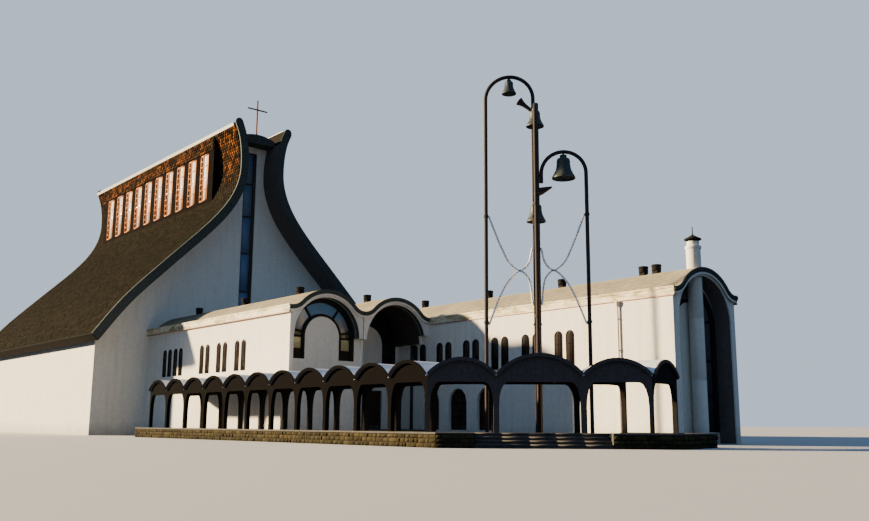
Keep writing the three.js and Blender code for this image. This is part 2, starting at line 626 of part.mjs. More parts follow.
// Between the roof's concave face and an upright wall plane, with ten tall openings.
function clerestory(name, side) {
  const x = (u) => NAVE_X + side * u;
  const span = (u0, u1, y0, y1, z0, z1) =>
    solid(block(Math.min(x(u0), x(u1)), Math.max(x(u0), x(u1)), y0, y1, z0, z1));
  const grown = solid(alongY(flankSection(side, SEAT, ROOF_THICK), CLERE_NEAR - 1, CLERE_FAR + 1));
  const lens = span(CLERE_BACK, CLERE_FACE, CLERE_NEAR, CLERE_FAR, ...CLERE_BLOCK).subtract(grown)
    .decompose()
    .sort((p, q) => q.volume() - p.volume())[0];
  const near = CLERE_NEAR + CLERE_CHEEK;
  const far = CLERE_FAR - CLERE_CHEEK;
  const inside = span(CLERE_HOLLOW, CLERE_FACE - CLERE_WALL, near, far, CLERE_SILL, CLERE_TOP);
  return node(name, cut(lens, [inside, ...clereOpenings().map(([y0, y1]) =>
    span(CLERE_HOLLOW, CLERE_FACE + 1, y0, y1, CLERE_SILL + CLERE_RIM, CLERE_TOP - CLERE_RIM))]),
  DARK_TRIM());
}

function clereOpenings() {
  const pitch = (CLERE_FAR - CLERE_NEAR - 2 * CLERE_CHEEK) / CLERE_COUNT;
  return Array.from({ length: CLERE_COUNT }, (_, i) => {
    const middle = CLERE_NEAR + CLERE_CHEEK + (i + 0.5) * pitch;
    return [middle - CLERE_OPENING / 2, middle + CLERE_OPENING / 2];
  });
}

function clereGlass(name, side) {
  const inner = CLERE_FACE - CLERE_WALL - SEAT;
  const a = NAVE_X + side * inner;
  const b = NAVE_X + side * (inner - CLERE_PANE);
  return node(name, block(Math.min(a, b), Math.max(a, b), CLERE_NEAR + CLERE_CHEEK + SEAT,
    CLERE_FAR - CLERE_CHEEK - SEAT, CLERE_SILL + SEAT, CLERE_TOP - SEAT), FRAME_RED());
}

// The low vault that closes the top between the two flanks.
function ridgeCap() {
  const inner = innerLine(ROOF_THICK + SEAT).filter(([, v]) => v > CAP_FOOT);
  const half = inner[0][0];
  const radius = (half ** 2 + CAP_RISE ** 2) / (2 * CAP_RISE);
  const reach = THREE.MathUtils.radToDeg(Math.asin(half / radius));
  const top = arcPoints(NAVE_X, CAP_EDGE + CAP_RISE - radius, radius, 90 - reach, 90 + reach, 10);
  const low = CAP_EDGE - CAP_DEEP;
  const shape = outline([[NAVE_X - half, low], [NAVE_X + half, low], ...top]);
  const section = solid(alongY(shape, CROSS_Y - CAP_FRONT, NAVE_BACK_Y - CAP_BACK));
  const flanks = [-1, 1].map((side) =>
    solid(alongY(flankSection(side, SEAT, ROOF_THICK + SEAT), VERGE_Y - 1, NAVE_BACK_Y + 1)));
  return node('ridge_cap', cut(section, flanks), DARK_TRIM());
}

// A gable wall from the ground to the roof's underside, with its strip window cut out.
function gable(name, y0, y1, doorways) {
  const line = innerLine(ROOF_THICK + SEAT).filter(([u, v]) => u < NAVE_HALF - 0.02 && v < GABLE_TOP);
  const eaveZ = heightAtDistance(NAVE_HALF);
  const top = line[line.length - 1];
  const face = underFlanks([[NAVE_HALF, 0], [NAVE_HALF, eaveZ], ...line, [top[0], GABLE_TOP + 0.02]]);
  const strip = [[NAVE_X - STRIP_HALF, STRIP_SILL], [NAVE_X + STRIP_HALF, STRIP_SILL],
    [NAVE_X + STRIP_HALF, STRIP_TOP], [NAVE_X - STRIP_HALF, STRIP_TOP]];
  return node(name, pierced(face, [strip, ...doorways], alongY, y0, y1), STUCCO());
}

// Height of the roof's underside at a distance from the axis.
function heightAtDistance(distance) {
  const line = innerLine(ROOF_THICK + SEAT);
  const next = line.findIndex(([u]) => u < distance);
  const [u0, v0] = line[next - 1];
  const [u1, v1] = line[next];
  return v0 + ((v1 - v0) * (distance - u0)) / (u1 - u0);
}

const BACK_GABLE_Y = NAVE_BACK_Y - (GABLE_Y - VERGE_Y) - GABLE_THICK;

function stripWindow(name, y) {
  const frame = rectangle(NAVE_X - STRIP_HALF + SEAT, NAVE_X + STRIP_HALF - SEAT,
    STRIP_SILL + SEAT, STRIP_TOP - SEAT);
  const [x0, x1] = STRIP_PANE.map((u) => NAVE_X + u);
  const panes = STRIP_RAILS.slice(1).map((rail, i) => {
    const [low, high] = [STRIP_RAILS[i] + STRIP_RAIL_HALF, rail - STRIP_RAIL_HALF];
    return [[x0, low], [x1, low], [x1, high], [x0, high]];
  });
  const bars = pierced(frame, panes, alongY, y, y + STRIP_THICK);
  const glass = solid(block(x0 - 0.05, x1 + 0.05, y + 0.05, y + 0.08, STRIP_SILL + 0.05, STRIP_TOP - 0.05));
  return node(name, join([bars, glass]), DARK_TRIM());
}

function naveSideWall(name, side) {
  const x0 = NAVE_X + side * NAVE_HALF;
  const x1 = NAVE_X + side * (NAVE_HALF - SIDE_WALL);
  const z0 = heightAtDistance(NAVE_HALF);
  const z1 = heightAtDistance(NAVE_HALF - SIDE_WALL);
  return node(name, alongY(outline([[x0, 0], [x1, 0], [x1, z1], [x0, z0]]),
    GABLE_Y + GABLE_THICK, BACK_GABLE_Y), STUCCO());
}

function nave() {
  const [x0, x1] = [NAVE_X - NAVE_DOOR_HALF, NAVE_X + NAVE_DOOR_HALF];
  const doorways = [[[x0, TERRACE], [x1, TERRACE], [x1, NAVE_DOOR_TOP], [x0, NAVE_DOOR_TOP]]];
  const inner = NAVE_HALF - SIDE_WALL;
  return [
    flankRoof('nave_roof_left', -1),
    flankRoof('nave_roof_right', 1),
    ridgeCap(),
    clerestory('clerestory_left', -1),
    clerestory('clerestory_right', 1),
    clereGlass('clerestory_glass_left', -1),
    clereGlass('clerestory_glass_right', 1),
    gable('gable_front', GABLE_Y, GABLE_Y + GABLE_THICK, doorways),
    gable('gable_back', BACK_GABLE_Y, BACK_GABLE_Y + GABLE_THICK, []),
    stripWindow('strip_window_front', GABLE_Y + 0.25),
    stripWindow('strip_window_back', BACK_GABLE_Y + 0.08),
    naveSideWall('nave_wall_left', -1),
    naveSideWall('nave_wall_right', 1),
    node('nave_floor', block(NAVE_X - inner, NAVE_X + inner, GABLE_Y + GABLE_THICK, BACK_GABLE_Y,
      TERRACE - FLOOR_THICK, TERRACE), CONCRETE()),
    cross(),
  ];
}

function cross() {
  const base = CAP_EDGE + CAP_RISE + SEAT;
  const { half, at, high } = CROSS_ARM;
  const bar = (wide, thick, low, top) => solid(block(NAVE_X - wide, NAVE_X + wide,
    CROSS_Y - thick, CROSS_Y + thick, base + low, base + top));
  return node('cross', join([bar(CROSS_HALF, CROSS_HALF, 0, CROSS_HIGH), bar(half, 0.04, at, at + high)]),
    COPPER());
}

// Covered walk

const fromAngle = (degrees) => {
  const angle = THREE.MathUtils.degToRad(degrees);
  return new THREE.Vector2(Math.cos(angle), Math.sin(angle));
};

// Points of the vaults' upper line over a run of bays, with a kink at each valley.
function vaultLine(bays, lift) {
  const points = [];
  let start = 0;
  for (const bay of bays) {
    const rise = bay * WALK_RISE_RATIO;
    const radius = (rise ** 2 + (bay / 2) ** 2) / (2 * rise);
    const reach = THREE.MathUtils.radToDeg(Math.asin(bay / 2 / radius));
    const arc = arcPoints(start + bay / 2, WALK_VALLEY + rise - radius, radius, 90 + reach, 90 - reach, 10);
    points.push(...arc.slice(start > 0 ? 1 : 0).map(([u, v]) => [u, v + lift]));
    start += bay;
  }
  return points;
}

// The quarter curve from a post's face up to the tie line, towards +1 or -1 along the run.
const flare = (face, towards) => Array.from({ length: FLARE_STEPS + 1 }, (_, i) => {
  const angle = ((i / FLARE_STEPS) * Math.PI) / 2;
  return [face + towards * FLARE_OUT * (1 - Math.cos(angle)),
    WALK_TIE - FLARE_HIGH * (1 - Math.sin(angle))];
});

// One post row with its flat-bottomed vault ends: posts flare out below the tie line.
function walkFrame(bays, drop) {
  const foot = TERRACE + SEAT;
  const low = [[0, foot]];
  let start = 0;
  for (const bay of bays) {
    const left = start + POST_HALF;
    const right = start + bay - POST_HALF;
    low.push([left, foot], ...flare(left, 1), ...flare(right, -1).reverse(), [right, foot]);
    start += bay;
  }
  low.push([start, foot]);
  return outline([...vaultLine(bays, -drop), ...low.reverse()]);
}

const skinShape = (bays) => outline([...vaultLine(bays, 0), ...vaultLine(bays, -WALK_SKIN).reverse()]);

// Takes a solid built along +X from the origin, with its depth along +Y, into the walk.
function placeRun(geometry, start, turn) {
  return geometry.rotateZ(THREE.MathUtils.degToRad(turn)).translate(start.x, start.y, 0);
}

function walkRun(bays, start, turn, clip, drop) {
  const pieces = {
    front: alongY(walkFrame(bays, drop), 0, WALK_FRAME),
    back: alongY(walkFrame(bays, drop), WALK_DEEP - WALK_FRAME, WALK_DEEP),
    roof: alongY(skinShape(bays), -WALK_OVERHANG, WALK_DEEP + WALK_OVERHANG),
  };
  return Object.fromEntries(Object.entries(pieces).map(([key, geometry]) =>
    [key, solid(placeRun(geometry, start, turn)).intersect(clip)]));
}

// The walk's corner points in plan, with the mitre lines between its three runs.
const V0 = new THREE.Vector2(WALK_FRONT_X, WALK_BACK_END_Y - WALK_BAY * WALK_BAYS);
const gateAlong = fromAngle(GATE_TURN);
const returnAlong = fromAngle(RETURN_TURN);
const total = (bays) => bays.reduce((sum, bay) => sum + bay, 0);
const V3 = V0.clone().addScaledVector(gateAlong, total(GATE_BAYS));
const V4 = V3.clone().addScaledVector(returnAlong, total(RETURN_BAYS));

// A plan region on one side of a mitre, as a tall prism.
function planPrism(points) {
  return solid(upright(new THREE.Shape(points), -1, 8));
}

const inward = (along) => new THREE.Vector2(-along.y, along.x);
const [OUTSIDE, INSIDE, FAR] = [-2, 6, 14]; // reaches of the clip prisms, inwards from a run

// The direction of a mitre line between two runs, pointing inwards.
function mitre(alongA, alongB) {
  return inward(alongA).add(inward(alongB)).normalize();
}

const walkAlong = fromAngle(-90);
const mitreA = mitre(walkAlong, gateAlong);
const mitreB = mitre(gateAlong, returnAlong);
const offsetPoint = (origin, direction, distance) => origin.clone().addScaledVector(direction, distance);

function coveredWalk() {
  const gap = 0.002;
  const start = new THREE.Vector2(WALK_FRONT_X, WALK_BACK_END_Y);
  const outA = offsetPoint(V0, mitreA, OUTSIDE);
  const inA = offsetPoint(V0, mitreA, FAR);
  const shiftA = walkAlong.clone().multiplyScalar(-gap);
  const clipA = planPrism([outA.clone().add(shiftA), inA.clone().add(shiftA),
    offsetPoint(start, inward(walkAlong), FAR), offsetPoint(start, inward(walkAlong), OUTSIDE)]);
  const outB = offsetPoint(V3, mitreB, OUTSIDE);
  const inB = offsetPoint(V3, mitreB, INSIDE);
  const shiftB = gateAlong.clone().multiplyScalar(-gap);
  const clipB = planPrism([outA.clone().addScaledVector(gateAlong, gap), outB.clone().add(shiftB),
    inB.clone().add(shiftB), offsetPoint(V0, mitreA, INSIDE).addScaledVector(gateAlong, gap)]);
  const endOut = offsetPoint(V4, inward(returnAlong), OUTSIDE);
  const endIn = offsetPoint(V4, inward(returnAlong), INSIDE);
  const clipC = planPrism([outB.clone().addScaledVector(returnAlong, gap),
    endOut.addScaledVector(returnAlong, PLINTH_END), endIn.addScaledVector(returnAlong, PLINTH_END),
    inB.clone().addScaledVector(returnAlong, gap)]);
  const walk = walkRun(Array(WALK_BAYS).fill(WALK_BAY), start, -90, clipA, WALK_SKIN + SEAT);
  const gate = walkRun(GATE_BAYS, V0, GATE_TURN, clipB, WALK_SKIN + SEAT);
  const last = walkRun(RETURN_BAYS, V3, RETURN_TURN, clipC, WALK_SKIN / 2);
  return [
    node('walk_front_frame', walk.front, DARK_TRIM()),
    node('walk_back_frame', walk.back, DARK_TRIM()),
    node('walk_vaults', walk.roof, MEMBRANE()),
    node('gate_front_frame', gate.front, DARK_TRIM()),
    node('gate_back_frame', gate.back, DARK_TRIM()),
    node('gate_vaults', gate.roof, MEMBRANE()),
    node('walk_end_bay', join([last.front, last.back, last.roof]), DARK_TRIM()),
    plinth(),
    steps(),
  ];
}

const GATE_MIDDLE = GATE_BAYS[0] + GATE_BAYS[1] / 2;
const STEPS_DEEP = (STEP_COUNT - 1) * STEP_TREAD;

// A point of the gate's plan, by its distance along the run and inwards from it.
const onGate = (along, deep) =>
  offsetPoint(offsetPoint(V0, gateAlong, along), inward(gateAlong), deep);

// Where the gate run's line at a distance inwards meets the left run's line at another.
function leftCorner(deepLeft, deepGate) {
  const x = WALK_FRONT_X + deepLeft;
  const start = onGate(0, deepGate);
  return offsetPoint(start, gateAlong, (x - start.x) / gateAlong.x);
}

// The stone-faced plinth under the whole walk, with a bay cut out of it for the steps.
function plinth() {
  const backEdge = WALK_DEEP + PLINTH_BACK;
  const corner = (origin, direction, along, distance) =>
    offsetPoint(origin, direction, distance / direction.dot(inward(along)));
  const endAlong = offsetPoint(V4, returnAlong, PLINTH_END);
  const [from, to] = [GATE_MIDDLE - STEPS_WIDE / 2, GATE_MIDDLE + STEPS_WIDE / 2];
  const points = [
    new THREE.Vector2(WALK_FRONT_X - PLINTH_EDGE, WALK_BACK_END_Y + PLINTH_END),
    leftCorner(-PLINTH_EDGE, -GATE_EDGE),
    onGate(from, -GATE_EDGE),
    onGate(from, STEPS_DEEP - GATE_EDGE),
    onGate(to, STEPS_DEEP - GATE_EDGE),
    onGate(to, -GATE_EDGE),
    corner(V3, mitreB, gateAlong, -GATE_EDGE),
    offsetPoint(endAlong, inward(returnAlong), -GATE_EDGE),
    offsetPoint(endAlong, inward(returnAlong), backEdge),
    corner(V3, mitreB, gateAlong, backEdge),
    corner(V0, mitreA, walkAlong, backEdge),
    new THREE.Vector2(WALK_FRONT_X + backEdge, 0),
    new THREE.Vector2(-SEAT, 0),
    new THREE.Vector2(-SEAT, WALK_BACK_END_Y + PLINTH_END),
  ];
  return node('walk_plinth', upright(new THREE.Shape(points), 0, TERRACE), STONE());
}

// Steps that rise to the gate's middle bay.
function steps() {
  const treads = [];
  for (let i = 1; i < STEP_COUNT; i += 1) {
    const near = -GATE_EDGE + (i - 1) * STEP_TREAD;
    treads.push(solid(placeRun(block(GATE_MIDDLE - STEPS_WIDE / 2 + SEAT, GATE_MIDDLE + STEPS_WIDE / 2 - SEAT,
      near, STEPS_DEEP - GATE_EDGE - SEAT, 0, (i * TERRACE) / STEP_COUNT), V0, GATE_TURN)));
  }
  return node('gate_steps', join(treads), CONCRETE());
}

// Bell tower

// A tube of round section along a path of points joined by a smooth curve.
function tube(curve, radius, steps, sides) {
  const section = outline(arcPoints(0, 0, radius, 0, 360 - 360 / sides, sides - 1));
  return new THREE.ExtrudeGeometry(section, { steps, extrudePath: curve, bevelEnabled: false });
}

// One arm's centre line: a post that rises from the ground, bends over in a half
// circle and ends in a short tail beside the mast. Most of its steps lie in the bend.
class ArmCurve extends THREE.Curve {
  constructor(reach, end, spring, tail) {
    super();
    Object.assign(this, { radius: (reach - end) / 2, middle: (reach + end) / 2, spring, tail });
  }

  getPoint(t, target = new THREE.Vector3()) {
    const post = Math.min(t / ARM_STRAIGHT, 1);
    const bend = THREE.MathUtils.clamp((t - ARM_STRAIGHT) / (1 - 2 * ARM_STRAIGHT), 0, 1) * Math.PI;
    const fall = Math.max((t - 1 + ARM_STRAIGHT) / ARM_STRAIGHT, 0) * this.tail;
    return target.set(this.middle + this.radius * Math.cos(bend), 0,
      this.spring * post + this.radius * Math.sin(bend) - fall);
  }

  getUtoTmapping(u) {
    return u;
  }
}

// Each arm: its turn from the tower's plane, the height of its crown, the mouth radius of
// its bell and the distance from the mast's axis to its tail.
const ARMS = [
  { name: 'left', turn: 180, crown: 19.33, bell: 0.385, end: TOP_ARM_END },
  { name: 'front', turn: 270, crown: 17.15, bell: 0.46, end: ARM_END },
  { name: 'right', turn: 0, crown: 15.1, bell: 0.61, end: ARM_END },
  { name: 'back', turn: 90, crown: 12.95, bell: 0.52, end: ARM_END },
];

function towerPlace(geometry, turn) {
  return geometry.rotateZ(THREE.MathUtils.degToRad(TOWER_TURN + turn)).translate(TOWER.x, TOWER.y, 0);
}

function arm({ name, turn, crown, end }) {
  const bend = (ARM_REACH - end) / 2;
  const spring = crown - ARM_RADIUS - bend;
  const tail = end === TOP_ARM_END ? spring - MAST_TOP - SEAT : ARM_TAIL;
  const curve = new ArmCurve(ARM_REACH, end, spring, tail);
  return node(`tower_arm_${name}`, towerPlace(tube(curve, ARM_RADIUS, ARM_STEPS, 8), turn), TOWER_STEEL());
}

// An open bell under the crown of its arm, with a yoke on its head.
function bell({ name, turn, crown, bell: mouth, end }) {
  const top = crown - 2 * ARM_RADIUS - BELL_DROP;
  const profile = [...BELL_OUTSIDE, ...BELL_INSIDE].map(([r, v]) => [r * mouth, top - v * mouth]);
  const loop = [[0, top], [BELL_LOOP, top], [BELL_LOOP, profile[0][1]]];
  const cast = turned([...loop, ...profile].reverse(), 16).translate((ARM_REACH + end) / 2, 0, 0);
  return node(`bell_${name}`, towerPlace(cast, turn), BRONZE());
}

// A horn on the mast: its section along its own axis, tilted out from the vertical.
function hornSolid({ section, turn, tilt, z }) {
  const horn = turned(section, 12).rotateY(THREE.MathUtils.degToRad(tilt));
  return solid(towerPlace(horn.translate(MAST_RADIUS / 2, 0, z), turn));
}

function mast() {
  const post = turned([[0, 0], [MAST_RADIUS, 0], [MAST_RADIUS, MAST_TOP], [0, MAST_TOP]], 16);
  const body = solid(towerPlace(post, 0));
  return node('tower_mast', join([body, hornSolid(UPPER_HORN), hornSolid(LOWER_HORN)]), TOWER_STEEL());
}

// Two curved rods between a post and the mast: one hangs, one stands, and they meet.
function brace(name, turn) {
  const flat = BRACE_RADIUS * Math.cos(Math.PI / BRACE_SIDES);
  const outer = ARM_REACH - ARM_RADIUS - flat - SEAT;
  const inner = MAST_RADIUS + flat + SEAT;
  const rod = (heights) => {
    const points = [outer, ...BRACE_REACHES, inner].map((u, i) => new THREE.Vector3(u, 0, heights[i]));
    const curve = new THREE.CatmullRomCurve3(points);
    return solid(towerPlace(tube(curve, BRACE_RADIUS, BRACE_STEPS, BRACE_SIDES), turn));
  };
  return node(name, join([rod(BRACE_HANGING), rod(BRACE_STANDING)]), WHITE_STEEL());
}

function bellTower() {
  return [
    mast(),
    ...ARMS.map(arm),
    ...ARMS.map(bell),
    brace('tower_brace_left', 180),
    brace('tower_brace_right', 0),
  ];
}

// Assembly

const church = new THREE.Group();
church.name = 'church';
church.add(...wingRoofs(), archHood(), ...leftWing(), ...porch(), ...rightWing(), ...wingFloors());
church.add(...nave());
church.add(...coveredWalk());
church.add(...bellTower());

// The origin is the middle of the ground plan: on the nave's axis, half way along.
const whole = new THREE.Box3().setFromObject(church);
const centre = whole.getCenter(new THREE.Vector3());
church.position.set(-Math.round(centre.x), -Math.round(centre.y), 0);

export default church;
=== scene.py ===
# %% [markdown]
# # Dressing a half-size church
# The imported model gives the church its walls, roofs, walk and tower as plain faceted solids.
# This lesson keeps those solids as they are and adds what a visitor sees: wooden scales on the
# nave, shingle courses on the wings, glazing bars, gutters, stone facing, round pipes and cast bells.
# Everything is placed in the frame that the solids already share, so nothing has to be fitted.

import json

import bmesh
import bpy
import numpy as np
from mathutils import Matrix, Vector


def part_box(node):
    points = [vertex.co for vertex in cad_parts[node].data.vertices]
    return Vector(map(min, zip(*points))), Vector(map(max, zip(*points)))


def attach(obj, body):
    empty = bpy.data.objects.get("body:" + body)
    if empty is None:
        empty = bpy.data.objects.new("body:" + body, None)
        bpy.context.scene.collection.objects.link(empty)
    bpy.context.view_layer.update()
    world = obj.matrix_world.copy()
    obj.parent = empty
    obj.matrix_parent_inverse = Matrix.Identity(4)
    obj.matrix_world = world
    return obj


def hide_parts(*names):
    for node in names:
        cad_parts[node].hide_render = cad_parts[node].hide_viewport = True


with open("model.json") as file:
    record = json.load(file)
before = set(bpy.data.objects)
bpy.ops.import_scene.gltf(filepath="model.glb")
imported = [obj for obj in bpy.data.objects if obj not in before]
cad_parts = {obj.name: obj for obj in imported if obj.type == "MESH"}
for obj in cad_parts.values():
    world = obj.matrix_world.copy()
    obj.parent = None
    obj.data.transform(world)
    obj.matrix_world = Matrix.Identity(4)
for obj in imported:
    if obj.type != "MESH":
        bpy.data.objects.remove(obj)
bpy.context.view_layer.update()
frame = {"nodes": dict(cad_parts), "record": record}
nodes = frame["nodes"]

# %% [markdown]
# ## Real metres
# A builder knows the church by its real sizes, and the model is half of that. All shapes below
# are written in real metres, measured from the outer front corner of the left wing, and one
# function takes them into the model. The corner itself is read from the frame.

# %% Real metres and the model
HALF = 0.5  # model metres for each metre of the real church
ORIGIN = np.array([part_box("left_wing_side_wall")[0].x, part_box("arch_hood")[0].y, 0.0])


def in_model(points):
    """Real metres to model metres: the corner's place plus half of each real coordinate."""
    return ORIGIN + HALF * np.asarray(points, float)


print("the real corner stands at", ORIGIN.round(4))

# %% [markdown]
# ## The camera
# The photograph was taken from low down and a little turned. The camera gets the same eye point,
# focal length and small tilt, so that the render can be laid over the photograph.
# The focal length was found in pixels, and the sensor width turns it into a lens.

# %% The camera
PHOTO_WIDE = 869
FOCAL_PIXELS = 901.3
SENSOR_MM = 36.0
EYE = (-28.202, -47.041, 0.95)
YAW, PITCH, ROLL = np.radians([40.05, 10.30, 0.334])

forward = np.array([np.sin(YAW) * np.cos(PITCH), np.cos(YAW) * np.cos(PITCH), np.sin(PITCH)])
level = np.array([np.cos(YAW), -np.sin(YAW), 0.0])
upward = np.cross(level, forward)
right = np.cos(ROLL) * level + np.sin(ROLL) * upward
upper = np.cos(ROLL) * upward - np.sin(ROLL) * level


def in_scene(name, data):
    """A new object of the scene that shows some data."""
    thing = bpy.data.objects.new(name, data)
    bpy.context.scene.collection.objects.link(thing)
    return thing


def placed(across, up, back, at=(0, 0, 0)):
    """The matrix whose columns are three directions square to one another, and a place."""
    columns = np.eye(4)
    columns[:3] = np.stack([across, up, back, at], axis=1)
    return Matrix(columns.tolist())


lens = bpy.data.cameras.new("camera")
lens.sensor_width = SENSOR_MM
lens.lens = FOCAL_PIXELS * SENSOR_MM / PHOTO_WIDE
lens.clip_end = 1000.0
camera = in_scene("camera", lens)
camera.matrix_world = placed(right, upper, -forward, in_model(EYE))
bpy.context.scene.camera = camera
print(f"lens {lens.lens:.2f} mm at {in_model(EYE).round(3)}")

# %% [markdown]
# ## Meshes from arrays
# Every new piece is a surface whose points are worked out at once with numpy. A few helpers turn
# such arrays into closed shapes: a plate between two grids, a profile carried along a path, a
# turned profile and a set of boxes. A shape is a pair: its points, and its faces in groups of
# equal length.


# %% Shapes
def grid_faces(rows, columns, closed=False):
    """Four-cornered faces of a grid of points: (i, j), (i, j + 1), (i + 1, j + 1), (i + 1, j). In a
    closed grid the last column meets the first."""
    i, j = np.arange(rows - 1), np.arange(columns if closed else columns - 1)
    i, j = np.meshgrid(i, j, indexing="ij")
    below, beside = i + 1, (j + 1) % columns
    corners = [i * columns + j, i * columns + beside, below * columns + beside, below * columns + j]
    return np.stack(corners, -1).reshape(-1, 4)


def joined(shapes):
    """Several shapes as one: each one's corner numbers are raised by the points before it."""
    points, faces, count = [], [], 0
    for shape_points, groups in shapes:
        points.append(shape_points)
        faces += [group + count for group in groups]
        count += len(shape_points)
    return np.concatenate(points), faces


def slab(top, low):
    """A closed plate between two grids of points that match one to one, with its rim closed."""
    rows, columns = top.shape[:2]
    count = rows * columns
    index = np.arange(count).reshape(rows, columns)
    rim = np.concatenate([index[0, :-1], index[:-1, -1], index[-1, :0:-1], index[:0:-1, 0]])
    after = np.roll(rim, -1)
    sides = np.stack([rim, rim + count, after + count, after], -1)
    faces = grid_faces(rows, columns)
    return np.concatenate([top.reshape(-1, 3), low.reshape(-1, 3)]), [faces, faces[:, ::-1] + count, sides]


def swept(path, across, up, profile):
    """A closed profile carried along a path: P(i, j) = path_i + a_j across_i + b_j up_i."""
    path, profile = np.asarray(path, float), np.asarray(profile, float)
    across, up = (np.broadcast_to(np.asarray(v, float), path.shape) for v in (across, up))
    points = path[:, None] + profile[None, :, :1] * across[:, None] + profile[None, :, 1:] * up[:, None]
    rows, columns = len(path), len(profile)
    end = np.arange(columns)[None]
    return points.reshape(-1, 3), [grid_faces(rows, columns, closed=True), end[:, ::-1],
                                   end + (rows - 1) * columns]


def circle(radius, sides):
    """Points at equal angles round a circle."""
    angle = np.linspace(0, 2 * np.pi, sides, endpoint=False)
    return radius * np.stack([np.cos(angle), np.sin(angle)], -1)


def tube(path, normal, radius, sides):
    """A round pipe along a flat path: its section stands on the plane's normal and on tangent x normal."""
    path = np.asarray(path, float)
    along = np.gradient(path, axis=0)
    up = np.cross(along, normal)
    up /= np.linalg.norm(up, axis=1)[:, None]
    return swept(path, normal, up, circle(radius, sides))


def turned(profile, at, segments):
    """A profile of radius and height turned round a vertical axis at a point."""
    radius, height = np.asarray(profile, float).T
    angle = np.linspace(0, 2 * np.pi, segments, endpoint=False)
    points = np.stack([
        at[0] + radius[:, None] * np.cos(angle), at[1] + radius[:, None] * np.sin(angle),
        np.broadcast_to(at[2] + height[:, None], (len(radius), segments))], -1)
    return points.reshape(-1, 3), [grid_faces(len(radius), segments, closed=True)]


BOX_FACES = np.array([[0, 2, 3, 1], [4, 5, 7, 6], [0, 1, 5, 4], [2, 6, 7, 3], [0, 4, 6, 2], [1, 3, 7, 5]])


def boxes(lows, highs):
    """Boxes between opposite corners: a corner takes each coordinate from the low or high point."""
    lows, highs = np.atleast_2d(lows).astype(float), np.atleast_2d(highs).astype(float)
    bits = (np.arange(8)[:, None] >> np.arange(3)) & 1
    points = np.where(bits, highs[:, None], lows[:, None])
    faces = BOX_FACES + 8 * np.arange(len(lows))[:, None, None]
    return points.reshape(-1, 3), [faces.reshape(-1, 4)]


# %% Pieces from shapes
SHARP_ANGLE = np.radians(35)
WELD = 1e-5
made = []


def to_mesh(name, shape):
    """A mesh whose points are the shape's, in model metres, and whose faces follow one another."""
    points, groups = shape
    mesh = bpy.data.meshes.new(name)
    corners = np.concatenate([group.ravel() for group in groups]).astype(np.int32)
    lengths = np.concatenate([np.full(len(group), group.shape[1]) for group in groups])
    starts = np.concatenate([[0], np.cumsum(lengths)[:-1]]).astype(np.int32)
    mesh.vertices.add(len(points))
    mesh.vertices.foreach_set("co", in_model(points).astype(np.float32).ravel())
    mesh.loops.add(len(corners))
    mesh.loops.foreach_set("vertex_index", corners)
    mesh.polygons.add(len(starts))
    mesh.polygons.foreach_set("loop_start", starts)
    mesh.update(calc_edges=True)
    return mesh


def close_up(mesh):
    """Merges points that meet, such as a turned profile's poles, and turns all faces outwards."""
    work = bmesh.new()
    work.from_mesh(mesh)
    bmesh.ops.remove_doubles(work, verts=work.verts, dist=WELD)
    bmesh.ops.recalc_face_normals(work, faces=work.faces)
    work.to_mesh(mesh)
    work.free()


def piece(name, shape, material, stands_for=(), marks=None, smooth=True):
    """Adds a finished piece that rides on the church. Marks are named values, one for each point."""
    mesh = to_mesh(name, shape)
    for mark, values in (marks or {}).items():
        mesh.attributes.new(mark, "FLOAT", "POINT").data.foreach_set("value", values.astype(np.float32))
    close_up(mesh)
    mesh.materials.append(material)
    if smooth:
        mesh.shade_smooth()
        mesh.set_sharp_from_angle(angle=SHARP_ANGLE)
    thing = in_scene(name, mesh)
    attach(thing, "root")
    if stands_for:
        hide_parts(*stands_for)
    made.append(name)
    print(f"{name}: {len(mesh.vertices)} points, {len(mesh.polygons)} faces")


# %% [markdown]
# ## Curves that the building shares
# Three curves give the church its look: the sweep of the nave's flanks, the wave of the wing
# roofs and the low vaults of the covered walk. Each is one function here, so that whatever is
# laid on it follows it closely.

# %% Flank of the nave
NAVE_X = 8.15
VERGE_Y = 18.96
GABLE_Y = 21.1
NAVE_BACK_Y = 50.9
ROOF_THICK = 0.65
FLANK = np.array([
    [13.32, 7.3], [11.1, 10.25], [8.1, 13.35], [4.7, 16.75], [2.95, 18.95], [2.12, 20.9],
    [1.98, 22.7], [2.2, 24.5], [2.65, 25.75],
])
FLANK_STEPS = 26


def spline(points, steps, power=0.0, free_ends=False):
    """Catmull-Rom curve: each stretch is a cubic whose end slopes lean on the next points.

    The time between two points is their distance to a power: 0 gives the even curve, 0.5 the
    centripetal one. At the ends the missing neighbour is the end itself, or with free ends its
    mirror image."""
    points = np.asarray(points, float)
    first, last = points[0], points[-1]
    if free_ends:
        first, last = 2 * points[0] - points[1], 2 * points[-1] - points[-2]
    padded = np.vstack([first, points, last])
    t = np.linspace(0, len(points) - 1, steps + 1)
    i = np.minimum(t.astype(int), len(points) - 2)
    w = (t - i)[:, None]
    p0, p1, p2, p3 = (padded[i + k] for k in range(4))
    gap = [np.linalg.norm(b - a, axis=1)[:, None] for a, b in ((p0, p1), (p1, p2), (p2, p3))]
    d0, d1, d2 = (np.ones_like(g) if power == 0 else g**power for g in gap)
    m1 = ((p1 - p0) / d0 - (p2 - p0) / (d0 + d1) + (p2 - p1) / d1) * d1
    m2 = ((p2 - p1) / d1 - (p3 - p1) / (d1 + d2) + (p3 - p2) / d2) * d1
    return ((2 * p1 - 2 * p2 + m1 + m2) * w**3 + (3 * p2 - 3 * p1 - 2 * m1 - m2) * w**2 + m1 * w + p1)


def unit(vectors):
    """Vectors of length one with the same directions."""
    return vectors / np.linalg.norm(vectors, axis=-1, keepdims=True)


